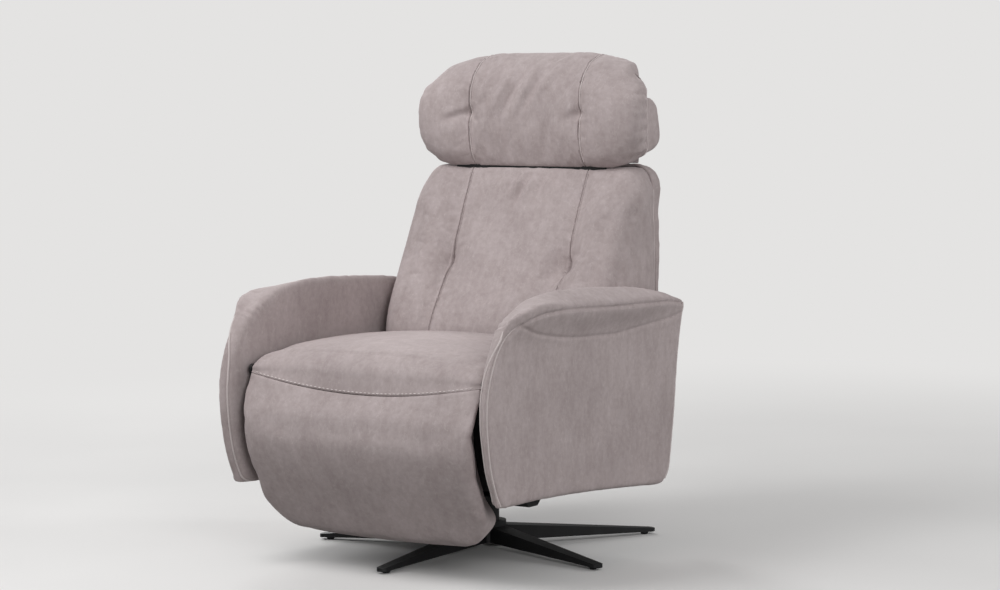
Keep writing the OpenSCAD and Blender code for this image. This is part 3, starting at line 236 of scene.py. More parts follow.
# Cloth for welts, piping and seam lips, paled all over: a painted highlight for the light their raised edges
# catch
HIGHLIGHT_WELT_CLOTH = make_microfibre("microfibre_painted_highlight", 0.5)

# Bonded polyester sewing thread, a shade paler than the cloth, twisted at 0.7 mm
THREAD = plain_finish("sewing_thread", tint=(0.7, 1.0), colours=("#d8cfcd", "#e8e0de", 0.4, 0.6),
                      relief=(0.7, 1.0), bump=(0.4, 0.2), rough=0.6)

# Steel with matt black polyester powder coat: a fine orange peel 1.5 mm across, dust in its hollows
POWDER_COAT = plain_finish("powder_coated_steel", tint=(45, 5.0), colours=("#101011", "#1b1b1d", 0.35, 0.7),
                           relief=(1.5, 2.0), bump=(0.12, 0.15), rough=(0.38, 0.55))

# Zinc-plated spring and pin steel: a faint milky bloom, and drawing lines made 0.6 mm wide so that they show
ZINC = plain_finish("zinc_plated_steel", tint=(9, 4.0), colours=("#9a9c9f", "#bfc1c2", 0.35, 0.65),
                    relief=(0.6, 2.0, 0.55, (12, 1, 1)), bump=(0.15, 0.05), rough=(0.26, 0.42), metallic=1.0)

# Injection-moulded black polyamide: a spark-eroded texture, made 0.8 mm across so that it shows
POLYAMIDE = plain_finish("moulded_polyamide", tint=(25, 3.0), colours=("#18181a", "#222224", 0.35, 0.65),
                         relief=(0.8, 2.0), bump=(0.25, 0.08), rough=0.48)

# Black spun-bonded polypropylene under the seat: matt, with pressed dimples 2 mm apart. In the headrest's
# slit the same black is painted shade
DUST_CLOTH = plain_finish("spunbond_cloth", tint=(18, 5.0), colours=("#161617", "#232324", 0.35, 0.65),
                          relief=(2.0, 1.0), bump=(0.35, 0.2), rough=0.9)

FINISHES = {
    "upholstery": MICROFIBRE, "black_steel": POWDER_COAT, "bright_steel": ZINC, "plywood": make_plywood(),
    "black_plastic": POLYAMIDE, "dust_cloth": DUST_CLOTH,
}


def finish_frame():
    """Every CAD node gets the finish of its material slot."""
    for row in frame["record"]["subparts"]:
        node = frame["nodes"][row["node"]]
        material = FINISHES[row["material_slot"]]
        if not node.material_slots:
            node.data.materials.append(material)
        for place in node.material_slots:
            place.material = material


# Meshes

def points_of(mesh):
    flat = np.empty(len(mesh.vertices) * 3)
    mesh.vertices.foreach_get("co", flat)
    return flat.reshape(-1, 3)


def normals_of(mesh):
    flat = np.empty(len(mesh.vertices) * 3)
    mesh.vertices.foreach_get("normal", flat)
    return flat.reshape(-1, 3)


def set_points(mesh, points):
    mesh.vertices.foreach_set("co", points.astype(np.float32).ravel())
    mesh.update()


def relax(mesh, rounds, free=None):
    """Evens a mesh out; free says for each point, from 0 to 1, how far it may follow its neighbours."""
    pairs = np.empty(len(mesh.edges) * 2, np.int64)
    mesh.edges.foreach_get("vertices", pairs)
    a, b = pairs.reshape(-1, 2).T
    points = points_of(mesh)
    count = len(points)
    degree = np.maximum(np.bincount(a, minlength=count) + np.bincount(b, minlength=count), 1)[:, None]
    share = 0.5 if free is None else 0.5 * free[:, None]
    for _ in range(rounds):
        mean = np.stack([np.bincount(a, points[b, k], count) + np.bincount(b, points[a, k], count)
                         for k in range(3)], 1) / degree
        points = points + (mean - points) * share
    set_points(mesh, points)


def frame_copy(name, nodes):
    """One new object from copies of CAD nodes' meshes."""
    bm = bmesh.new()
    for node in nodes:
        bm.from_mesh(frame["nodes"][node].data)
    bmesh.ops.remove_doubles(bm, verts=bm.verts, dist=0.01 * MM)
    return make_object(name, bm)


def make_object(name, bm):
    mesh = bpy.data.meshes.new(name)
    bm.to_mesh(mesh)
    bm.free()
    piece = bpy.data.objects.new(name, mesh)
    bpy.context.scene.collection.objects.link(piece)
    return piece


def bake(piece):
    """Applies the piece's modifiers to its mesh."""
    bpy.context.view_layer.update()
    graph = bpy.context.evaluated_depsgraph_get()
    mesh = bpy.data.meshes.new_from_object(piece.evaluated_get(graph))
    piece.modifiers.clear()
    old = piece.data
    piece.data = mesh
    bpy.data.meshes.remove(old)


def voxel_skin(piece, size_mm):
    """One even outer skin round everything in the piece's mesh."""
    modifier = piece.modifiers.new("even_skin", "REMESH")
    modifier.mode = "VOXEL"
    modifier.voxel_size = size_mm * MM
    bake(piece)


def subdivide(piece, levels):
    modifier = piece.modifiers.new("finer", "SUBSURF")
    modifier.levels = modifier.render_levels = levels
    modifier.boundary_smooth = "PRESERVE_CORNERS"
    bake(piece)


def smooth_shade(piece):
    for face in piece.data.polygons:
        face.use_smooth = True


def ease(values):
    t = np.clip(values, 0, 1)
    return t * t * (3 - 2 * t)


def path_distance(points, path):
    """Each point's distance from a path, and the share of the path's length where it comes nearest."""
    path = np.asarray(path, float)
    steps = np.linalg.norm(np.diff(path, axis=0), axis=1)
    starts = np.concatenate([[0], np.cumsum(steps)])
    best = np.full(len(points), np.inf)
    along = np.zeros(len(points))
    for k in range(len(path) - 1):
        d = path[k + 1] - path[k]
        t = np.clip((points - path[k]) @ d / max(d @ d, 1e-12), 0, 1)
        distance = np.linalg.norm(points - path[k] - t[:, None] * d, axis=1)
        nearer = distance < best
        best[nearer] = distance[nearer]
        along[nearer] = (starts[k] + t[nearer] * steps[k]) / starts[-1]
    return best, along


def smooth_path(points, spacing_mm=6.0):
    """Evenly spaced points on the smooth curve through some hand-chosen ones."""
    p = np.asarray(points, float)
    p = np.vstack([2 * p[0] - p[1], p, 2 * p[-1] - p[-2]])
    out = []
    # Evenly spaced points on the smooth curve through some given ones.
    for k in range(1, len(p) - 2):
        count = max(2, int(np.linalg.norm(p[k + 1] - p[k]) / (spacing_mm * MM)))
        for t in np.arange(count) / count:
            a, b, c, d = p[k - 1:k + 3]
            out.append((2 * b + (c - a) * t + (2 * a - 5 * b + 4 * c - d) * t ** 2
                        + (3 * b - a - 3 * c + d) * t ** 3) / 2)
    out.append(p[-2])
    return np.array(out)


def surface(piece):
    mesh = piece.data
    return BVHTree.FromPolygons([v.co for v in mesh.vertices], [p.vertices for p in mesh.polygons])


LAY_ROUNDS = 12
DIVE_MM = 3.0


def laid_on(piece, path, lift_mm=0.0, sunk=0):
    """The path drawn onto the piece's surface, lifted off it by lift_mm; its last sunk points dive under."""
    tree = surface(piece)
    spots = np.array([tree.find_nearest(Vector(p))[0] for p in path])
    for _ in range(LAY_ROUNDS):
        spots[1:-1] += (spots[:-2] + spots[2:] - 2 * spots[1:-1]) / 4
    lifts = np.full(len(spots), lift_mm)
    if sunk:
        lifts[-sunk:] = np.linspace(lift_mm, -DIVE_MM, sunk)
    out = []
    for spot, lift in zip(spots, lifts):
        place, normal, _, _ = tree.find_nearest(Vector(spot))
        out.append(place + normal * lift * MM)
    return np.array(out)


# Simulation

SIM_FRAMES = 20


def swell(piece, pinned, pressure, cap_mm, grow=0.0, sink_mm=1.5, bending=0.4, stiffness=18.0):
    """Fills a cushion with air under its cloth; pinned is each point's hold, from 0 to 1.

    No point rises more than cap_mm above the starting surface, or falls more than sink_mm below it."""
    rest = points_of(piece.data)
    outwards = normals_of(piece.data)
    group = piece.vertex_groups.new(name="sewn")
    for level in np.unique(np.round(pinned, 1)):
        if level > 0:
            held = np.nonzero(np.round(pinned, 1) == level)[0]
            group.add([int(k) for k in held], float(level), "REPLACE")
    modifier = piece.modifiers.new("swell", "CLOTH")
    cloth = modifier.settings
    cloth.quality = 4
    cloth.mass = 0.3
    cloth.tension_stiffness = stiffness
    cloth.compression_stiffness = stiffness
    cloth.shear_stiffness = stiffness / 3
    cloth.bending_stiffness = bending
    cloth.air_damping = 1.0
    cloth.use_pressure = True
    cloth.uniform_pressure_force = pressure
    cloth.shrink_min = -grow
    cloth.vertex_group_mass = group.name
    cloth.effector_weights.gravity = 0
    modifier.collision_settings.use_collision = False
    modifier.collision_settings.use_self_collision = False
    modifier.point_cache.frame_start = 1
    modifier.point_cache.frame_end = SIM_FRAMES
    for step in range(1, SIM_FRAMES + 1):
        bpy.context.scene.frame_set(step)
    bake(piece)
    bpy.context.scene.frame_set(1)
    piece.vertex_groups.clear()
    move = points_of(piece.data) - rest
    rise = np.einsum("ij,ij->i", move, outwards)[:, None]
    slide = move - rise * outwards
    set_points(piece.data, rest + outwards * np.clip(rise, -sink_mm * MM, cap_mm * MM) + slide * 0.4)


def keep_inside(piece, low, high):
    """Holds a swollen piece between two corners, in millimetres; None leaves a side free."""
    points = points_of(piece.data)
    for k in range(3):
        if low[k] is not None:
            points[:, k] = np.maximum(points[:, k], low[k] * MM)
        if high[k] is not None:
            points[:, k] = np.minimum(points[:, k], high[k] * MM)
    set_points(piece.data, points)


def push(piece, amount_mm):
    """Moves each point along its normal."""
    mesh = piece.data
    set_points(mesh, points_of(mesh) + normals_of(mesh) * (amount_mm * MM)[:, None])


def folds(points, rows, axes):
    """Heights of listed folds: each row is a start, an end, a half-width and a height, in mm."""
    flat = points[:, axes] / MM
    out = np.zeros(len(points))
    for start, end, width, height in rows:
        distance, along = path_distance(flat, [start, end])
        out += height * np.exp(-(distance / width) ** 2) * np.sin(np.pi * np.clip(along * 0.9 + 0.05, 0, 1))
    return out


# Trim

def tube(name, path, radius_mm, sides=8):
    """A round cord of cloth or thread along a path."""
    curve = bpy.data.curves.new(name, "CURVE")
    curve.dimensions = "3D"
    curve.bevel_depth = radius_mm * MM
    curve.bevel_resolution = sides // 4
    curve.use_fill_caps = True
    line = curve.splines.new("POLY")
    line.points.add(len(path) - 1)
    for point, place in zip(line.points, path):
        point.co = (*place, 1.0)
    holder = bpy.data.objects.new(name + "_line", curve)
    bpy.context.scene.collection.objects.link(holder)
    bpy.context.view_layer.update()
    mesh = bpy.data.meshes.new_from_object(holder.evaluated_get(bpy.context.evaluated_depsgraph_get()))
    bpy.data.objects.remove(holder)
    piece = bpy.data.objects.new(name, mesh)
    bpy.context.scene.collection.objects.link(piece)
    return piece


def join(name, pieces):
    bm = bmesh.new()
    for piece in pieces:
        bm.from_mesh(piece.data)
        bpy.data.objects.remove(piece)
    return make_object(name, bm)


STITCH_LONG = 6.5
STITCH_GAP = 3.7
STITCH_R = 0.95


def stitches(name, path, up):
    """A row of thread stitches along a path, each a short capsule that dips at its ends."""
    steps = np.linalg.norm(np.diff(path, axis=0), axis=1)
    starts = np.concatenate([[0], np.cumsum(steps)])
    bm = bmesh.new()
    pitch = (STITCH_LONG + STITCH_GAP) * MM
    for k in range(int(starts[-1] / pitch)):
        middle = (k + 0.5) * pitch
        place = Vector([np.interp(middle, starts, path[:, j]) for j in range(3)])
        ahead = Vector([np.interp(middle + pitch / 4, starts, path[:, j]) for j in range(3)])
        made = bmesh.ops.create_uvsphere(bm, u_segments=8, v_segments=6, radius=1.0)["verts"]
        bmesh.ops.scale(bm, vec=(STITCH_R * MM, STITCH_R * MM, STITCH_LONG * MM / 2), verts=made)
        turn = (ahead - place).to_track_quat("Z", "Y").to_matrix()
        bmesh.ops.rotate(bm, cent=(0, 0, 0), matrix=turn, verts=made)
        bmesh.ops.translate(bm, vec=place + Vector(up) * STITCH_R * MM * 0.3, verts=made)
    return make_object(name, bm)


def dress(piece, material, body, replaced=(), bend=None):
    """Finishes a piece: shading, material, body and what it replaces.

    With a bend the piece joins no body and its place is baked into its mesh; what the bend holds is not used."""
    smooth_shade(piece)
    piece.data.materials.clear()
    piece.data.materials.append(material)
    if bend is None:
        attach(piece, body)
    else:
        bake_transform(piece)
    if replaced:
        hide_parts(*replaced)
    return piece


# Seat cushion and footrest pad: copies of the solids' own grids, made finer, then swollen

def grid_copy(name, node, creased, levels):
    """A finer copy of a solid's grid; creased says which points' sharp edges stay crisp."""
    bm = bmesh.new()
    bm.from_mesh(frame["nodes"][node].data)
    bmesh.ops.remove_doubles(bm, verts=bm.verts, dist=0.01 * MM)
    bmesh.ops.join_triangles(bm, faces=bm.faces, angle_face_threshold=math.radians(40),
                             angle_shape_threshold=math.radians(180))
    layer = bm.edges.layers.float.new("crease_edge")
    for edge in bm.edges:
        sharp = len(edge.link_faces) == 2 and edge.calc_face_angle(0) > math.radians(35)
        if sharp and all(creased(v.co / MM) for v in edge.verts):
            edge[layer] = 1.0
    piece = make_object(name, bm)
    subdivide(piece, levels)
    return piece


FOOT_PIVOT = (-400, 395)
NOSE_REACH = 46
NOSE_R = (38, 14)
SEAT_HALF_W = 282
SEAT_HEM_Z = 335
SEAT_CORNER = (230, -350, 388)
CORNER_FILL = 3.0


def near_nose(p):
    """Whether a point lies on the round front edge that the footrest turns about."""
    return math.hypot(p[1] - FOOT_PIVOT[0], p[2] - FOOT_PIVOT[1]) < NOSE_REACH


def nose_hold(p):
    """How firmly each point is held by the seam round the front edge."""
    nose = np.hypot(p[:, 1] - FOOT_PIVOT[0], p[:, 2] - FOOT_PIVOT[1])
    return ease((NOSE_REACH + 8 - nose) / 14)


def nose_radius(share):
    """The front edge's radius, from the seat's middle, where share is 0, to its sides, where it is 1."""
    return NOSE_R[0] + (NOSE_R[1] - NOSE_R[0]) * share ** 2


def add_seat():
    piece = grid_copy("seat_cushion_cover", "seat_cushion", near_nose, 3)
    p = points_of(piece.data) / MM
    pinned = np.maximum(ease((SEAT_HEM_Z - p[:, 2]) / 10), nose_hold(p))
    relax(piece.data, 30, 1 - pinned)
    swell(piece, pinned, 3.0, 2.5, grow=0.0, sink_mm=0.5)
    x, y, z = SEAT_CORNER
    corner = ease((np.abs(p[:, 0]) - x) / 40) * ease((y - p[:, 1]) / 35) * ease((p[:, 2] - z) / 16)
    push(piece, CORNER_FILL * corner)
    low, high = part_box("seat_cushion")
    keep_inside(piece, (low.x / MM, low.y / MM, low.z / MM), (high.x / MM, high.y / MM, None))
    return dress(piece, MICROFIBRE, "seat_unit", ["seat_cushion"])


LIP_GAP = 1.4
LIP_PULL = 1.5


def close_lip(piece):
    """Draws the pad's upper lip in towards the seat's round nose, which it slides over."""
    p = points_of(piece.data)
    share = np.clip(np.abs(p[:, 0]) / MM / SEAT_HALF_W, 0, 1)
    radius = nose_radius(share) * MM
    arm = p[:, 1:] - np.array(FOOT_PIVOT) * MM
    length = np.linalg.norm(arm, axis=1)
    near = np.clip(1 - (length - radius - LIP_GAP * MM) / (3 * MM), 0, 1) * (length > radius)
    p[:, 1:] -= arm / np.maximum(length, 1e-6)[:, None] * (near * LIP_PULL * MM)[:, None]
    set_points(piece.data, p)


# The pad's front face: heights, and its y at each
PAD_HEIGHTS = (60, 120, 220, 300, 360, 388)
PAD_FRONT_Y = (-330, -385, -434, -449, -426, -414)
SIDE_TUCK = 44
SIDE_FILL = 8
SIDE_REACH = 7


def tuck_sides(piece):
    """Fuller at the front of each side, pulled in towards the rear, as a soft pad's side is."""
    p = points_of(piece.data)
    mm = p / MM
    side = np.sign(mm[:, 0])
    across = ease((np.abs(mm[:, 0]) - 205) / 77)
    height = ease((388 - mm[:, 2]) / 24) * ease((mm[:, 2] - 105) / 70)
    depth = mm[:, 1] - np.interp(mm[:, 2], PAD_HEIGHTS, PAD_FRONT_Y)
    inwards = SIDE_TUCK * ease((depth + 2) / 66) * across
    fuller = SIDE_FILL * np.exp(-((depth - 4) / 22) ** 2) * across * ease((mm[:, 2] - 90) / 50)
    fuller *= ease((386 - mm[:, 2]) / 34)
    p[:, 0] += side * (fuller * 0.8 - inwards * height) * MM
    p[:, 1] -= fuller * 0.6 * MM
    set_points(piece.data, p)


def add_footrest():
    piece = grid_copy("footrest_cover", "footrest_pad", near_nose, 3)
    pinned = nose_hold(points_of(piece.data) / MM)
    swell(piece, pinned, 3.0, 4, grow=0.005)
    relax(piece.data, 14, 1 - pinned)
    close_lip(piece)
    tuck_sides(piece)
    low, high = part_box("footrest_pad")
    keep_inside(piece, (low.x / MM - SIDE_REACH, None, None), (high.x / MM + SIDE_REACH, None, None))
    return dress(piece, MICROFIBRE, "footrest", ["footrest_pad"])


# Back cushion. Folds are rows of a start and an end as [x, z], a half-width and a height, in millimetres

CUSHION_SKIN = 5
SHELL_SKIN = 3.0
CUSHION_AIR = 4.0
CUSHION_RISE = 7
BACK_SEAM_X = 146
BACK_TUFT_Z = 581
HINGE_SLOT_X = (108, 130)
HINGE_SLOT_Y = 172
CORNER_OUT = 8.0
CORNER_UP = 4.0
CROWN_UP = 1.5
BACK_FOLDS = [
    ((6, 770), (-14, 696), 8, -7.0), ((22, 770), (2, 700), 8, 4.6), ((-10, 768), (-28, 710), 7, 4.2),
    ((-30, 768), (-40, 724), 7, -4.2), ((48, 769), (34, 712), 8, -4.4), ((64, 769), (52, 724), 8, 2.6),
    ((-48, 766), (-52, 738), 7, 1.4), ((148, 604), (84, 500), 24, -10.0), ((156, 560), (124, 480), 15, 5.0),
    ((-146, 581), (-110, 545), 16, -1.8), ((-146, 575), (-190, 520), 18, -2.0),
    ((146, 585), (186, 545), 16, -1.6), ((146, 588), (100, 640), 18, -3.0),
    ((-146, 588), (-186, 622), 16, -1.6), ((230, 540), (205, 640), 22, -2.4),
    ((120, 700), (40, 690), 14, -0.8), ((-90, 690), (-20, 676), 14, -0.8),
]


def seam_sides(p, seam_x):
    return np.abs(np.abs(p[:, 0]) - seam_x)


SEAM_LOOPS = (-5.4, -3.6, -1.8, 0, 1.8, 3.6, 5.4)


def sewn(off, deep, lip=0.9):
    """The height of a sewn seam at a distance from its line: a tight groove between two raised lips."""
    return np.interp(off, (0, 1.8, 3.6, 5.4, 9), (-1, 0, 1, 0, 0)) * np.where(off < 1.8, deep, lip)


DIP_HALF_W = 16
DIP_UP = 3.0


def dimple(off, rise, deep, wide, above, below):
    """A button-less tuft: a pit that is wide across by its seam and eases out above and below."""
    tall = np.where(rise > 0, above, below)
    return -deep * np.exp(-(off / wide) ** 2 - (rise / tall) ** 2)


LIP_OFF = 3.4
LIP_R = 1.1
LIP_STEP = 5
RAY_FRONT = -900
RAY_SIDE = 500
RAY_TOP = 1200


def ray_spots(tree, starts, direction):
    """Where rays from each start, in millimetres, first meet the surface."""
    spots = [tree.ray_cast(Vector(start) * MM, Vector(direction))[0] for start in starts]
    return [spot for spot in spots if spot is not None]


def add_lips(name, piece, body, material, seam_x, low, high, over_top=()):
    """The folded cloth edge that stands proud along the right of each upright seam."""
    tree = surface(piece)
    cords = []
    for side in SIDES:
        x = side * seam_x + LIP_OFF
        path = ray_spots(tree, [(x, RAY_FRONT, z) for z in range(low, high, LIP_STEP)], (0, 1, 0))
        path += ray_spots(tree, [(x, y, RAY_TOP) for y in over_top], (0, 0, -1))
        cords.append(tube("lip", path, LIP_R))
    dress(join(name, cords), material, body)


def cut_seams(piece, seam_x, offsets):
    """Extra edge loops along the two upright seams, so that a narrow groove has points to use."""
    bm = bmesh.new()
    bm.from_mesh(piece.data)
    for side in SIDES:
        for offset in offsets:
            place = (side * (seam_x + offset) * MM, 0, 0)
            bmesh.ops.bisect_plane(bm, geom=bm.verts[:] + bm.edges[:] + bm.faces[:], dist=0.05 * MM,
                                   plane_co=place, plane_no=(1, 0, 0))
    bm.to_mesh(piece.data)
    bm.free()


def in_slot(p, low, high):
    """Points round the hinge leaves' slots, between two heights."""
    across = np.abs(p[:, 0])
    return ((across > HINGE_SLOT_X[0]) & (across < HINGE_SLOT_X[1]) & (p[:, 1] > HINGE_SLOT_Y)
            & (p[:, 2] > low) & (p[:, 2] < high)).astype(float)


def seam_hold(p, seam_x, tuft_z, tuft_r, front):
    """How firmly the two upright seams and their tufts hold the points of a cushion's front."""
    off = seam_sides(p, seam_x)
    seam = np.where(front, np.exp(-(off / 5) ** 2), 0)
    tuft = np.where(front, np.exp(-((off ** 2 + (p[:, 2] - tuft_z) ** 2) / tuft_r ** 2)), 0)
    return seam * 0.9, tuft


def fill_corners(piece):
    """Widens and lifts the back's two top corners, where its wings' foam is fullest."""
    p = points_of(piece.data)
    mm = p / MM
    corner = ease((np.abs(mm[:, 0]) - 150) / 80) * ease((mm[:, 2] - 680) / 60)
    p[:, 0] += np.sign(mm[:, 0]) * CORNER_OUT * corner * MM
    p[:, 2] += CORNER_UP * corner * ease((mm[:, 2] - 735) / 25) * MM
    set_points(piece.data, p)


def fill_back(piece):
    """Fills the back with air, held at its seams, tufts, rear, foot, crown and hinge slots."""
    slot = in_slot(points_of(piece.data) / MM, 698, 773)
    relax(piece.data, 8, 1 - slot)
    p = points_of(piece.data) / MM
    seam, tuft = seam_hold(p, BACK_SEAM_X, BACK_TUFT_Z, 10, normals_of(piece.data)[:, 1] < -0.2)
    rear = ease((p[:, 1] - 205) / 20)
    low_hold = ease((375 - p[:, 2]) / 15)
    crown = ease((p[:, 2] - 752) / 14)
    pinned = np.clip(np.maximum.reduce([seam, tuft, rear, low_hold, crown, slot]), 0, 1)
    swell(piece, pinned, CUSHION_AIR, CUSHION_RISE, grow=0.015)
    keep_inside(piece, (-281, None, 353), (281, 229.5, 777))


def add_back():
    piece = frame_copy("back_cushion_cover", ["back_cushion"])
    voxel_skin(piece, CUSHION_SKIN)
    fill_back(piece)
    subdivide(piece, 1)
    cut_seams(piece, BACK_SEAM_X, SEAM_LOOPS)
    p = points_of(piece.data)
    mm = p / MM
    front = normals_of(piece.data)[:, 1] < -0.15
    off = seam_sides(mm, BACK_SEAM_X)
    near = np.exp(-((mm[:, 2] - BACK_TUFT_Z) / 70) ** 2)
    groove = sewn(off, 4.4 + 1.6 * near, 0.4 + 0.6 * near)
    valley = DIP_UP * np.clip(1 - off / DIP_HALF_W, 0, 1) ** 2
    tuft = dimple(off, mm[:, 2] - BACK_TUFT_Z, 7.0, 9, 32, 14)
    change = groove + valley + tuft + folds(p, BACK_FOLDS, [0, 2])
    push(piece, np.where(front, change, 0))
    p = points_of(piece.data)
    p[:, 2] += CROWN_UP * MM * ease((p[:, 2] / MM - 750) / 18)
    set_points(piece.data, p)
    fill_corners(piece)
    add_lips("back_seam_lips", piece, "backrest", MICROFIBRE, BACK_SEAM_X, 380, 768)
    return dress(piece, MICROFIBRE, "backrest", ["back_cushion"])


# The rear shell's front rim: heights, its y at each, and how far its top corners come forward
RIM_HEIGHTS = (372, 640)
RIM_Y = (228, 232)
RIM_FORWARD = 7.0


def add_rear_cover():
    piece = frame_copy("back_rear_shell", ["back_rear_cover"])
    voxel_skin(piece, SHELL_SKIN)
    relax(piece.data, 10)
    p = points_of(piece.data)
    mm = p / MM
    rim = np.interp(mm[:, 2], RIM_HEIGHTS, RIM_Y)
    corner = ease((np.abs(mm[:, 0]) - 205) / 30) * ease((mm[:, 2] - 700) / 20) * (mm[:, 1] < rim + 12)
    p[:, 1] -= RIM_FORWARD * MM * corner
    set_points(piece.data, p)
    fill_corners(piece)
    return dress(piece, MICROFIBRE, "backrest", ["back_rear_cover"])


# Headrest. Its folds are written as the back's

HEAD_SEAM_X = 139
HEAD_TUFT_Z = 892
HEAD_END_SEAM_Y = 205
HEAD_BEND_Z = (772, 800)
HEAD_END_DROP = 14
HEAD_FOOT_DOWN = 5.5
END_LIP_Z = (806, 946)
HEAD_FOLDS = [
    ((6, 1002), (-64, 872), 9, -6.0), ((30, 1002), (-34, 876), 10, 5.0), ((56, 1000), (-8, 890), 10, -4.8),
    ((80, 1000), (18, 908), 10, 3.4), ((-22, 1002), (-88, 884), 9, 4.6), ((-50, 1000), (-104, 902), 8, -3.6),
    ((104, 998), (48, 926), 9, -2.2), ((-80, 998), (-116, 934), 8, 2.0), ((30, 900), (-30, 830), 16, -2.4),
    ((-136, 894), (-206, 872), 9, -4.8), ((-139, 898), (-192, 892), 9, 2.4),
    ((-139, 892), (-100, 915), 8, -1.8), ((-139, 892), (-108, 868), 8, -2.0),
    ((-139, 880), (-186, 852), 9, 2.0), ((-139, 892), (-180, 920), 10, 1.4),
    ((139, 892), (92, 870), 10, -3.4), ((139, 892), (100, 905), 9, 1.6), ((139, 892), (180, 884), 10, -1.8),
    ((139, 892), (176, 915), 10, 1.0), ((139, 888), (108, 850), 11, -1.4),
]
SLIT_Y = 174.4
SLIT_Z = (770, 785)
SLIT_HALF_W = 190
SLIT_BULGE = 0.6
SLIT_STRIP_DEPTH = 0.9


def add_end_lips(piece):
    """The folded cloth edge behind the gathered seam at each end of the headrest."""
    tree = surface(piece)
    cords = []
    for side in SIDES:
        starts = [(side * RAY_SIDE, HEAD_END_SEAM_Y + 5, z) for z in range(*END_LIP_Z, LIP_STEP)]
        cords.append(tube("lip", ray_spots(tree, starts, (-side, 0, 0)), LIP_R))
    dress(join("headrest_end_lips", cords), HIGHLIGHT_WELT_CLOTH, "headrest")


def fill_headrest(piece):
    """Fills the headrest with air, held at its seams, tufts, rear, foot and hinge slots."""
    slot = in_slot(points_of(piece.data) / MM, 783, 828)
    relax(piece.data, 8, 1 - slot)
    p = points_of(piece.data) / MM
    normals = normals_of(piece.data)
    front = (normals[:, 1] < 0.5) | (normals[:, 2] > 0.2)
    seam, tuft = seam_hold(p, HEAD_SEAM_X, HEAD_TUFT_Z, 9, front)
    back_side = np.where(normals[:, 1] > 0.6, ease((p[:, 1] - 222) / 10), 0)
    foot = ease((792 - p[:, 2]) / 10) * ease((p[:, 1] - 150) / 15)
    pinned = np.clip(np.maximum.reduce([seam, tuft, back_side, foot, slot]), 0, 1)
    swell(piece, pinned, CUSHION_AIR, CUSHION_RISE, grow=0.02)
    keep_inside(piece, (-281, None, 777.5), (281, 292, 1022))


def gathered_ends(points):
    """Heights of the gathered seam round each end, and of the ends' lower shoulders."""
    mm = points / MM
    across = np.abs(mm[:, 0])
    ends = ease((across - 225) / 20) * ease((968 - mm[:, 2]) / 40)
    gathers = []
    for k, z in enumerate(range(796, 958, 12)):
        start = (HEAD_END_SEAM_Y + 4, z)
        end = (HEAD_END_SEAM_Y - 34 - 9 * (k % 3), z + (z - 890) * 0.08)
        gathers.append((start, end, 4.6, -2.8 if k % 2 else 2.2))
    behind = mm[:, 1] - HEAD_END_SEAM_Y
    end_seam = 1.6 * np.exp(-((behind + 6) / 4) ** 2) - 4.0 * np.exp(-(behind / 4) ** 2)
    high_end = ease((across - 225) / 45) * ease((mm[:, 2] - 925) / 55)
    high_end = high_end * (0.35 + 0.65 * ease((mm[:, 1] - 165) / 50))
    return ends * (folds(points, gathers, [1, 2]) + end_seam) - HEAD_END_DROP * high_end


def taper_headrest(piece):
    """Narrows the ends towards the rear, and lowers the front of the foot to the back's top."""
    p = points_of(piece.data)
    mm = p / MM
    tucked = 10 * ease((mm[:, 1] - 160) / 50) + 17 * ease((mm[:, 1] - 205) / 28)
    p[:, 0] -= np.sign(mm[:, 0]) * tucked * ease((np.abs(mm[:, 0]) - 210) / 50) * MM
    p[:, 2] -= HEAD_FOOT_DOWN * MM * ease((188 - mm[:, 1]) / 14) * ease((838 - mm[:, 2]) / 40)
    set_points(piece.data, p)


def add_headrest():
    piece = frame_copy("headrest_cushion_cover", ["headrest_cushion"])
    voxel_skin(piece, CUSHION_SKIN)
    fill_headrest(piece)
    subdivide(piece, 1)
    cut_seams(piece, HEAD_SEAM_X, SEAM_LOOPS)
    p = points_of(piece.data)
    mm = p / MM
    normals = normals_of(piece.data)
    front = (normals[:, 1] < 0.3) | (normals[:, 2] > 0.3)
    off = seam_sides(mm, HEAD_SEAM_X)
    near = np.exp(-((mm[:, 2] - HEAD_TUFT_Z) / 45) ** 2)
    groove = sewn(off, 4.6 + 1.6 * near, 0.6 + 0.8 * near)
    valley = DIP_UP * np.clip(1 - off / DIP_HALF_W, 0, 1) ** 2
    tuft = dimple(off, mm[:, 2] - HEAD_TUFT_Z, 9.0, 7, 12, 11)
    change = np.where(front, groove + valley + tuft + folds(p, HEAD_FOLDS, [0, 2]), 0)
    push(piece, change + gathered_ends(p))
    taper_headrest(piece)
    add_end_lips(piece)
    add_lips("headrest_seam_lips", piece, "headrest", HIGHLIGHT_WELT_CLOTH, HEAD_SEAM_X, 790, 985, range(185, 236, 6))
    bend = ("backrest", *((0, SLIT_Y * MM, z * MM) for z in HEAD_BEND_Z))
    return dress(piece, MICROFIBRE, "headrest", ["headrest_cushion"], bend)


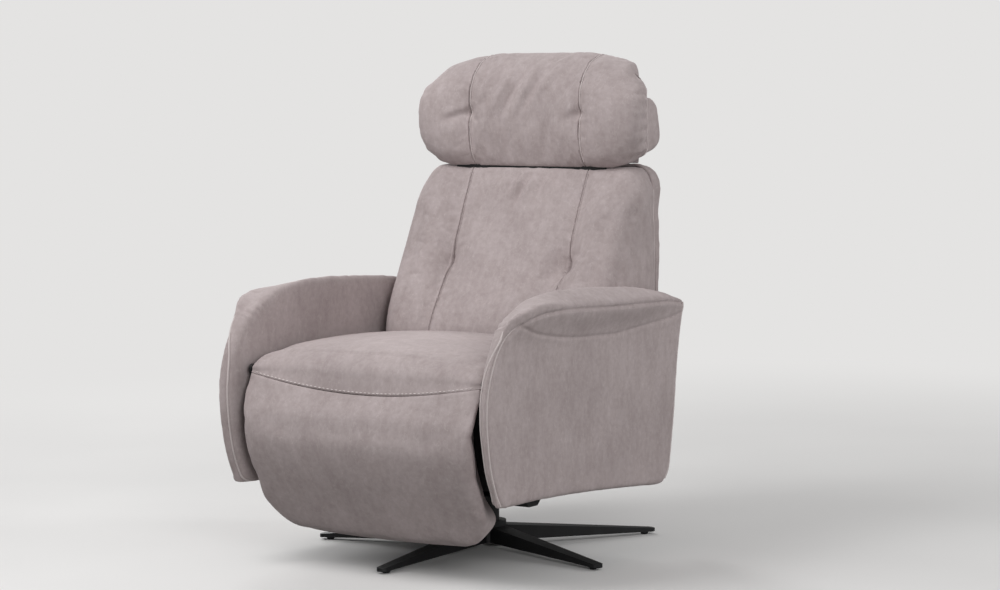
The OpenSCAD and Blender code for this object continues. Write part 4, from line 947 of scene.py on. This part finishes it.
def add_slit_shade_strip():
    """A black strip at the back of the slit under the headrest, in front of the hinge leaves: painted shade
    for the slit's shadow line, and a screen that hides the leaves.
    """
    low, high = SLIT_Z
    bm = bmesh.new()
    made = bmesh.ops.create_grid(bm, x_segments=SLIT_HALF_W // 5, y_segments=6, size=0.5)["verts"]
    bmesh.ops.scale(bm, vec=(2 * SLIT_HALF_W * MM, (high - low) * MM, 1), verts=made)
    bmesh.ops.rotate(bm, cent=(0, 0, 0), matrix=Matrix.Rotation(math.radians(90), 3, "X"), verts=made)
    bmesh.ops.translate(bm, vec=(0, SLIT_Y * MM, (low + high) / 2 * MM), verts=made)
    for vert in bm.verts:
        vert.co.y -= SLIT_BULGE * MM * math.sin(math.pi * (vert.co.z / MM - low) / (high - low))
    walls = bmesh.ops.extrude_face_region(bm, geom=bm.faces[:])["geom"]
    rear = [g for g in walls if isinstance(g, bmesh.types.BMVert)]
    bmesh.ops.translate(bm, vec=(0, SLIT_STRIP_DEPTH * MM, 0), verts=rear)
    bmesh.ops.recalc_face_normals(bm, faces=bm.faces)
    piece = make_object("slit_shade_strip", bm)
    smooth_shade(piece)
    # Black spunbond here is painted shade: the slit behind the headrest is only in shadow
    piece.data.materials.append(DUST_CLOTH)
    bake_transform(piece)


def wrap_board(node, name, material, body):
    """A wooden board under its stapled-on cloth."""
    piece = frame_copy(name, [node])
    bm = bmesh.new()
    bm.from_mesh(piece.data)
    bmesh.ops.remove_doubles(bm, verts=bm.verts, dist=0.01 * MM)
    sharp = [e for e in bm.edges if e.calc_face_angle(0) > math.radians(50)]
    bmesh.ops.bevel(bm, geom=sharp, offset=1.2 * MM, segments=2, affect="EDGES")
    bm.to_mesh(piece.data)
    bm.free()
    return dress(piece, material, body, [node])


def add_rear_pad():
    piece = grid_copy("headrest_rear_cover", "headrest_rear_pad", lambda p: False, 3)
    return dress(piece, MICROFIBRE, "headrest", ["headrest_rear_pad"])


# Arms. Places along their sewn lines, as [y, z] in millimetres, and how far out each line lies

ARM_EDGE_X = 352
ARM_EDGE = [
    (-416, 159), (-440, 190), (-453, 240), (-460, 300), (-461, 345), (-454, 392), (-434, 438), (-407, 474),
    (-369, 503), (-322, 524), (-245, 528), (-178, 525), (-78, 520), (24, 516), (104, 512), (206, 505),
    (250, 503),
]
ARM_BAND_X = 303
ARM_BAND_SWING = 30
ARM_BAND = [
    (-396, 518), (-407, 505), (-419, 490), (-437, 460), (-455, 418), (-463, 369), (-464, 321), (-460, 272),
    (-450, 219), (-436, 180), (-416, 160), (-374, 158),
]
ARM_CRESCENT_X = 345
ARM_CRESCENT = [
    (-361, 506), (-301, 483), (-225, 469), (-156, 462), (-56, 458), (-5, 457), (100, 464), (197, 472),
    (238, 478),
]
ARM_REAR_X = 332
ARM_REAR = [(250, 503), (243, 460), (232, 400), (221, 340), (209, 270), (198, 205), (186, 160), (172, 141)]
ARM_OUTLINE = [
    (-404, 161), (-424, 179), (-445, 222), (-457, 275), (-463, 325), (-462, 372), (-452, 415), (-436, 453),
    (-414, 487), (-388, 514), (-355, 535), (-302, 550), (-208, 560), (-124, 559), (1, 552), (97, 543),
    (195, 526), (250, 508),
]
ARM_CENTRE = (-100, 330)
ARM_NOSE_FACING = (0.817, 0.577)
ARM_NOSE_IN = 4.0
ARM_CORNER = (-402, 512)
ARM_CORNER_MOVE = (13.0, 3.0, 8.0)
ARM_BASE_FOLDS = [
    ((-412, 160), (-398, 178), 4, -1.2), ((-400, 158), (-388, 172), 4, 1.0),
    ((-388, 158), (-378, 170), 4, -1.0), ((166, 138), (176, 156), 5, -1.0), ((152, 136), (158, 152), 5, 0.8),
]
PIPING_LIFT = 0.9
EDGE_PIPING_END = -340


def follow_outline(piece, outline, centre):
    """Draws the piece's side outline onto a smooth curve, by less and less towards its middle."""
    p = points_of(piece.data)
    flat = p[:, 1:] / MM - centre
    turn = np.arctan2(flat[:, 1], flat[:, 0])
    reach = np.hypot(*flat.T)
    count = 360
    bins = ((turn / (2 * math.pi) + 0.5) * count).astype(int) % count
    edge = np.zeros(count)
    np.maximum.at(edge, bins, reach)
    edge = np.mean([np.roll(edge, k) for k in (-2, -1, 0, 1, 2)], axis=0)
    angles = (np.arange(count) + 0.5) / count * 2 * math.pi - math.pi
    curve = smooth_path([(0, y - centre[0], z - centre[1]) for y, z in outline], 4.0 / MM)[:, 1:]
    wanted_turn = np.unwrap(np.arctan2(curve[:, 1], curve[:, 0]))
    wanted = np.hypot(*curve.T)
    order = np.argsort(wanted_turn)
    wrapped = np.where(turn > wanted_turn.max(), turn - 2 * math.pi, turn)
    inside = (wrapped > wanted_turn.min()) & (wrapped < wanted_turn.max())
    fade = ease((wrapped - wanted_turn.min()) / 0.12) * ease((wanted_turn.max() - wrapped) / 0.12) * inside
    now = np.interp(turn, angles, edge, period=2 * math.pi)
    aim = np.interp(wrapped, wanted_turn[order], wanted[order])
    share = ease((reach / now - 0.72) / 0.28) * fade
    p[:, 1:] += flat / np.maximum(reach, 1)[:, None] * ((aim - now) * share)[:, None] * MM
    set_points(piece.data, p)


def shape_arm(piece, side):
    """Thins the arm's round nose, and draws its outer front corner in, forwards and up."""
    p = points_of(piece.data) / MM
    facing = normals_of(piece.data) @ np.array([-side * ARM_NOSE_FACING[0], -ARM_NOSE_FACING[1], 0])
    push(piece, -ARM_NOSE_IN * ease((facing - 0.1) / 0.8) * ease((-380 - p[:, 1]) / 50))
    p = points_of(piece.data)
    mm = p / MM
    far = (mm[:, 1] - ARM_CORNER[0]) ** 2 + (mm[:, 2] - ARM_CORNER[1]) ** 2
    corner = ease((side * mm[:, 0] - 318) / 34) * np.exp(-far / 46 ** 2)
    inwards, forwards, up = ARM_CORNER_MOVE
    p[:, 0] -= side * inwards * MM * corner
    p[:, 1] -= forwards * MM * corner
    p[:, 2] += up * MM * corner
    set_points(piece.data, p)


def arm_gathers(piece, side):
    """Heights of the small gathers at the arm's front corner, over its shoulder and at its foot."""
    p = points_of(piece.data)
    normals = normals_of(piece.data)
    outer = side * normals[:, 0] > 0.2
    inner = side * normals[:, 0] < -0.2
    top = normals[:, 2] > 0.1
    corner_folds = []
    for k in range(6):
        y = -398 + 9 * k
        corner_folds.append(((y, 512 + 2 * k), (y + 12, 488 + 4 * k), 2.8, -2.0 if k % 2 else 1.8))
    shoulder_folds = []
    for k in range(7):
        y = -396 + 17 * k
        shoulder_folds.append(((y, 487 + 6.5 * k), (y + 4, 512 + 5 * k), 3.2, -1.7 if k % 2 else 1.5))
    return (np.where(inner, folds(p, corner_folds, [1, 2]), 0)
            + np.where(top & ~inner, folds(p, shoulder_folds, [1, 2]), 0)
            + np.where(outer, folds(p, ARM_BASE_FOLDS, [1, 2]), 0))


def arm_line(piece, side, x, rows, swing=0):
    """A sewn line of the arm at x; swing is how far its top leans to the arm's outer corner."""
    places = [(side * (x + swing * ease((z - 400) / 110)) * MM, y * MM, z * MM) for y, z in rows]
    return laid_on(piece, smooth_path(places))


def add_arm(side, word):
    piece = frame_copy(f"arm_cover_cloth_{word}", [f"arm_cover_{word}", f"arm_core_{word}"])
    voxel_skin(piece, CUSHION_SKIN)
    relax(piece.data, 8)
    follow_outline(piece, ARM_OUTLINE, ARM_CENTRE)
    relax(piece.data, 6)
    subdivide(piece, 1)
    shape_arm(piece, side)
    edge = arm_line(piece, side, ARM_EDGE_X, ARM_EDGE)
    band = arm_line(piece, side, ARM_BAND_X, ARM_BAND, ARM_BAND_SWING)
    crescent = arm_line(piece, side, ARM_CRESCENT_X, ARM_CRESCENT)
    rear = arm_line(piece, side, ARM_REAR_X, ARM_REAR)
    p = points_of(piece.data)
    change = np.zeros(len(p))
    for path, depth, width in ((edge, 4.2, 4), (band, 2.2, 5), (crescent, 2.6, 4), (rear, 1.8, 4.5)):
        distance, _ = path_distance(p, path)
        change -= depth * np.exp(-(distance / MM / width) ** 2)
    push(piece, change + arm_gathers(piece, side))
    dress(piece, MICROFIBRE, "seat_unit", [f"arm_cover_{word}", f"arm_core_{word}"])
    front = edge[edge[:, 1] < EDGE_PIPING_END * MM]
    cords = [
        tube("edge", laid_on(piece, front, PIPING_LIFT, 14), 1.9),
        tube("band", laid_on(piece, band[::-1], PIPING_LIFT, 14), 2.0),
        tube("rear", laid_on(piece, rear, PIPING_LIFT), 1.9),
    ]
    dress(join(f"arm_piping_{word}", cords), HIGHLIGHT_WELT_CLOTH, "seat_unit")


# Seams that lie on cushions

# The front seam's angle round the nose, at the seat's middle and sides, and how far above it the stitches run
SEAM_ANGLES = (23, 65)
STITCH_RISE = 20


def add_seat_stitches(seat):
    """A row of stitches a few millimetres above the seat's front seam."""
    tree = surface(seat)
    path = []
    for x in range(-272, 273, 4):
        share = abs(x) / SEAT_HALF_W
        radius = nose_radius(share)
        angle = math.radians(SEAM_ANGLES[0] + (SEAM_ANGLES[1] - SEAM_ANGLES[0]) * share ** 2 + STITCH_RISE)
        place = Vector((x, FOOT_PIVOT[0] - radius * math.sin(angle),
                        FOOT_PIVOT[1] - radius * math.cos(angle)))
        spot, normal, _, _ = tree.find_nearest(place * MM)
        path.append(spot + normal * 0.3 * MM)
    row = stitches("seat_front_stitches", np.array(path), (0, -0.7, 0.7))
    dress(row, THREAD, "seat_unit")


def add_back_piping(back):
    """A thin welt along each rear side edge of the back cushion."""
    cords = []
    for side in SIDES:
        path = smooth_path(np.array([(side * 270, 226, z) for z in range(372, 741, 12)]) * MM, 12)
        cords.append(tube("welt", laid_on(back, path, 0.4), 1.6))
    dress(join("back_side_welts", cords), HIGHLIGHT_WELT_CLOTH, "backrest")


# Floor and light

FLOOR_REACH = 14.0
WALL_BACK = 7.0
WALL_RISE = 6.0
COVE_R = 2.5
BACKDROP = "#e4e3e2"
DULL_BOARD = "#969594"
FLOOR_CLOUD_MM = 900
GLOW_FROM = 1.0
GLOW_FULL = 3.4


def make_floor():
    """Matt pale studio board, which away from the object glows like the backdrop for the camera alone.

    Other rays meet a duller board, so that it throws little light back up."""
    material, tree, shader = new_material("pale_floor")
    place = add_node(tree, "ShaderNodeTexCoord").outputs["Object"]
    clouds = pattern(tree, place, FLOOR_CLOUD_MM, detail=2.0)
    colour = clouded(tree, clouds, "#e6e5e4", "#e9e8e7", 0.4, 0.6)
    tree.links.new(colour, shader.inputs["Base Color"])
    shader.inputs["Roughness"].default_value = 0.75
    shader.inputs["Specular IOR Level"].default_value = 0.2
    seen = add_node(tree, "ShaderNodeLightPath").outputs["Is Camera Ray"]
    dull = add_node(tree, "ShaderNodeBsdfDiffuse", Color=linear(DULL_BOARD))
    own = add_node(tree, "ShaderNodeMixShader", Fac=seen, i1=dull.outputs[0], i2=shader.outputs[0])
    reach = add_node(tree, "ShaderNodeVectorMath", {"operation": "LENGTH"}, i0=place)
    far = add_node(tree, "ShaderNodeMapRange", {"interpolation_type": "SMOOTHSTEP"}, From_Min=GLOW_FROM,
                   From_Max=GLOW_FULL, To_Min=0.0, To_Max=1.0, Value=reach.outputs["Value"])
    share = add_node(tree, "ShaderNodeMath", {"operation": "MULTIPLY"}, i0=far.outputs[0], i1=seen)
    glow = add_node(tree, "ShaderNodeEmission", Color=linear(BACKDROP))
    mixed = add_node(tree, "ShaderNodeMixShader", Fac=share.outputs[0], i1=own.outputs[0],
                     i2=glow.outputs[0])
    tree.links.new(mixed.outputs[0], tree.nodes["Material Output"].inputs["Surface"])
    return material


def add_stage():
    """A pale floor that curves up into a backdrop."""
    bm = bmesh.new()
    start = bm.verts.new((-FLOOR_REACH, -FLOOR_REACH, 0))
    corner = bm.verts.new((-FLOOR_REACH, WALL_BACK, 0))
    bm.edges.new((start, corner))
    bmesh.ops.spin(bm, geom=[corner], cent=(-FLOOR_REACH, WALL_BACK, COVE_R), axis=(1, 0, 0),
                   angle=math.pi / 2, steps=16)
    top = max(bm.verts, key=lambda v: v.co.z)
    made = bmesh.ops.extrude_vert_indiv(bm, verts=[top])["verts"]
    bmesh.ops.translate(bm, vec=(0, 0, WALL_RISE), verts=made)
    made = bmesh.ops.extrude_edge_only(bm, edges=bm.edges[:])["geom"]
    far_side = [g for g in made if isinstance(g, bmesh.types.BMVert)]
    bmesh.ops.translate(bm, vec=(FLOOR_REACH * 2, 0, 0), verts=far_side)
    bmesh.ops.recalc_face_normals(bm, faces=bm.faces)
    floor = make_object("floor", bm)
    floor.data.transform(Matrix.Rotation(math.radians(CAMERA_AZIMUTH), 4, "Z"))
    smooth_shade(floor)
    floor.data.materials.append(make_floor())


# Name, place, size in metres and watts of each lamp, which all point at LAMP_AIM
LAMP_AIM = (0, 0, 0.55)
LAMPS = [
    ("key", (-0.7, -1.2, 2.3), (1.1, 1.1), 24), ("fill", (3.8, -3.0, 1.8), (2.0, 2.0), 72),
    ("left", (-2.4, -2.6, 2.6), (1.6, 1.6), 20), ("rim_left", (-3.0, 2.2, 2.2), (1.0, 2.4), 50),
    ("rim_right", (3.2, 2.6, 2.2), (1.0, 2.4), 44),
]
SKY_COLOUR = "#f6f6f6"
SKY_STRENGTH = 0.36


def add_lamp(name, place, size, power):
    data = bpy.data.lights.new(name, "AREA")
    data.shape = "RECTANGLE"
    data.size, data.size_y = size
    data.energy = power
    lamp = bpy.data.objects.new(name, data)
    lamp.location = place
    lamp.rotation_euler = (Vector(LAMP_AIM) - Vector(place)).to_track_quat("-Z", "Y").to_euler()
    bpy.context.scene.collection.objects.link(lamp)


def add_light():
    """An even pale sky, seen by the camera as the backdrop, and the lamps."""
    scene = bpy.context.scene
    scene.view_settings.view_transform = "Standard"
    world = bpy.data.worlds.new("studio")
    scene.world = world
    world.use_nodes = True
    tree = world.node_tree
    tree.nodes.clear()
    seen = add_node(tree, "ShaderNodeLightPath").outputs["Is Camera Ray"]
    sky = add_node(tree, "ShaderNodeBackground", Color=linear(SKY_COLOUR), Strength=SKY_STRENGTH)
    wall = add_node(tree, "ShaderNodeBackground", Color=linear(BACKDROP), Strength=1.0)
    both = add_node(tree, "ShaderNodeMixShader", Fac=seen, i1=sky.outputs[0], i2=wall.outputs[0])
    output = add_node(tree, "ShaderNodeOutputWorld")
    tree.links.new(both.outputs[0], output.inputs["Surface"])
    for lamp in LAMPS:
        add_lamp(*lamp)


add_camera()
finish_frame()
seat = add_seat()
add_footrest()
back = add_back()
add_rear_cover()
add_headrest()
add_slit_shade_strip()
wrap_board("headrest_board", "headrest_board_cloth", MICROFIBRE, "headrest")
wrap_board("footrest_board", "footrest_board_cloth", DUST_CLOTH, "footrest")
add_rear_pad()
for side, word in zip(SIDES, ("left", "right")):
    add_arm(side, word)
add_seat_stitches(seat)
add_back_piping(back)
add_stage()
add_light()
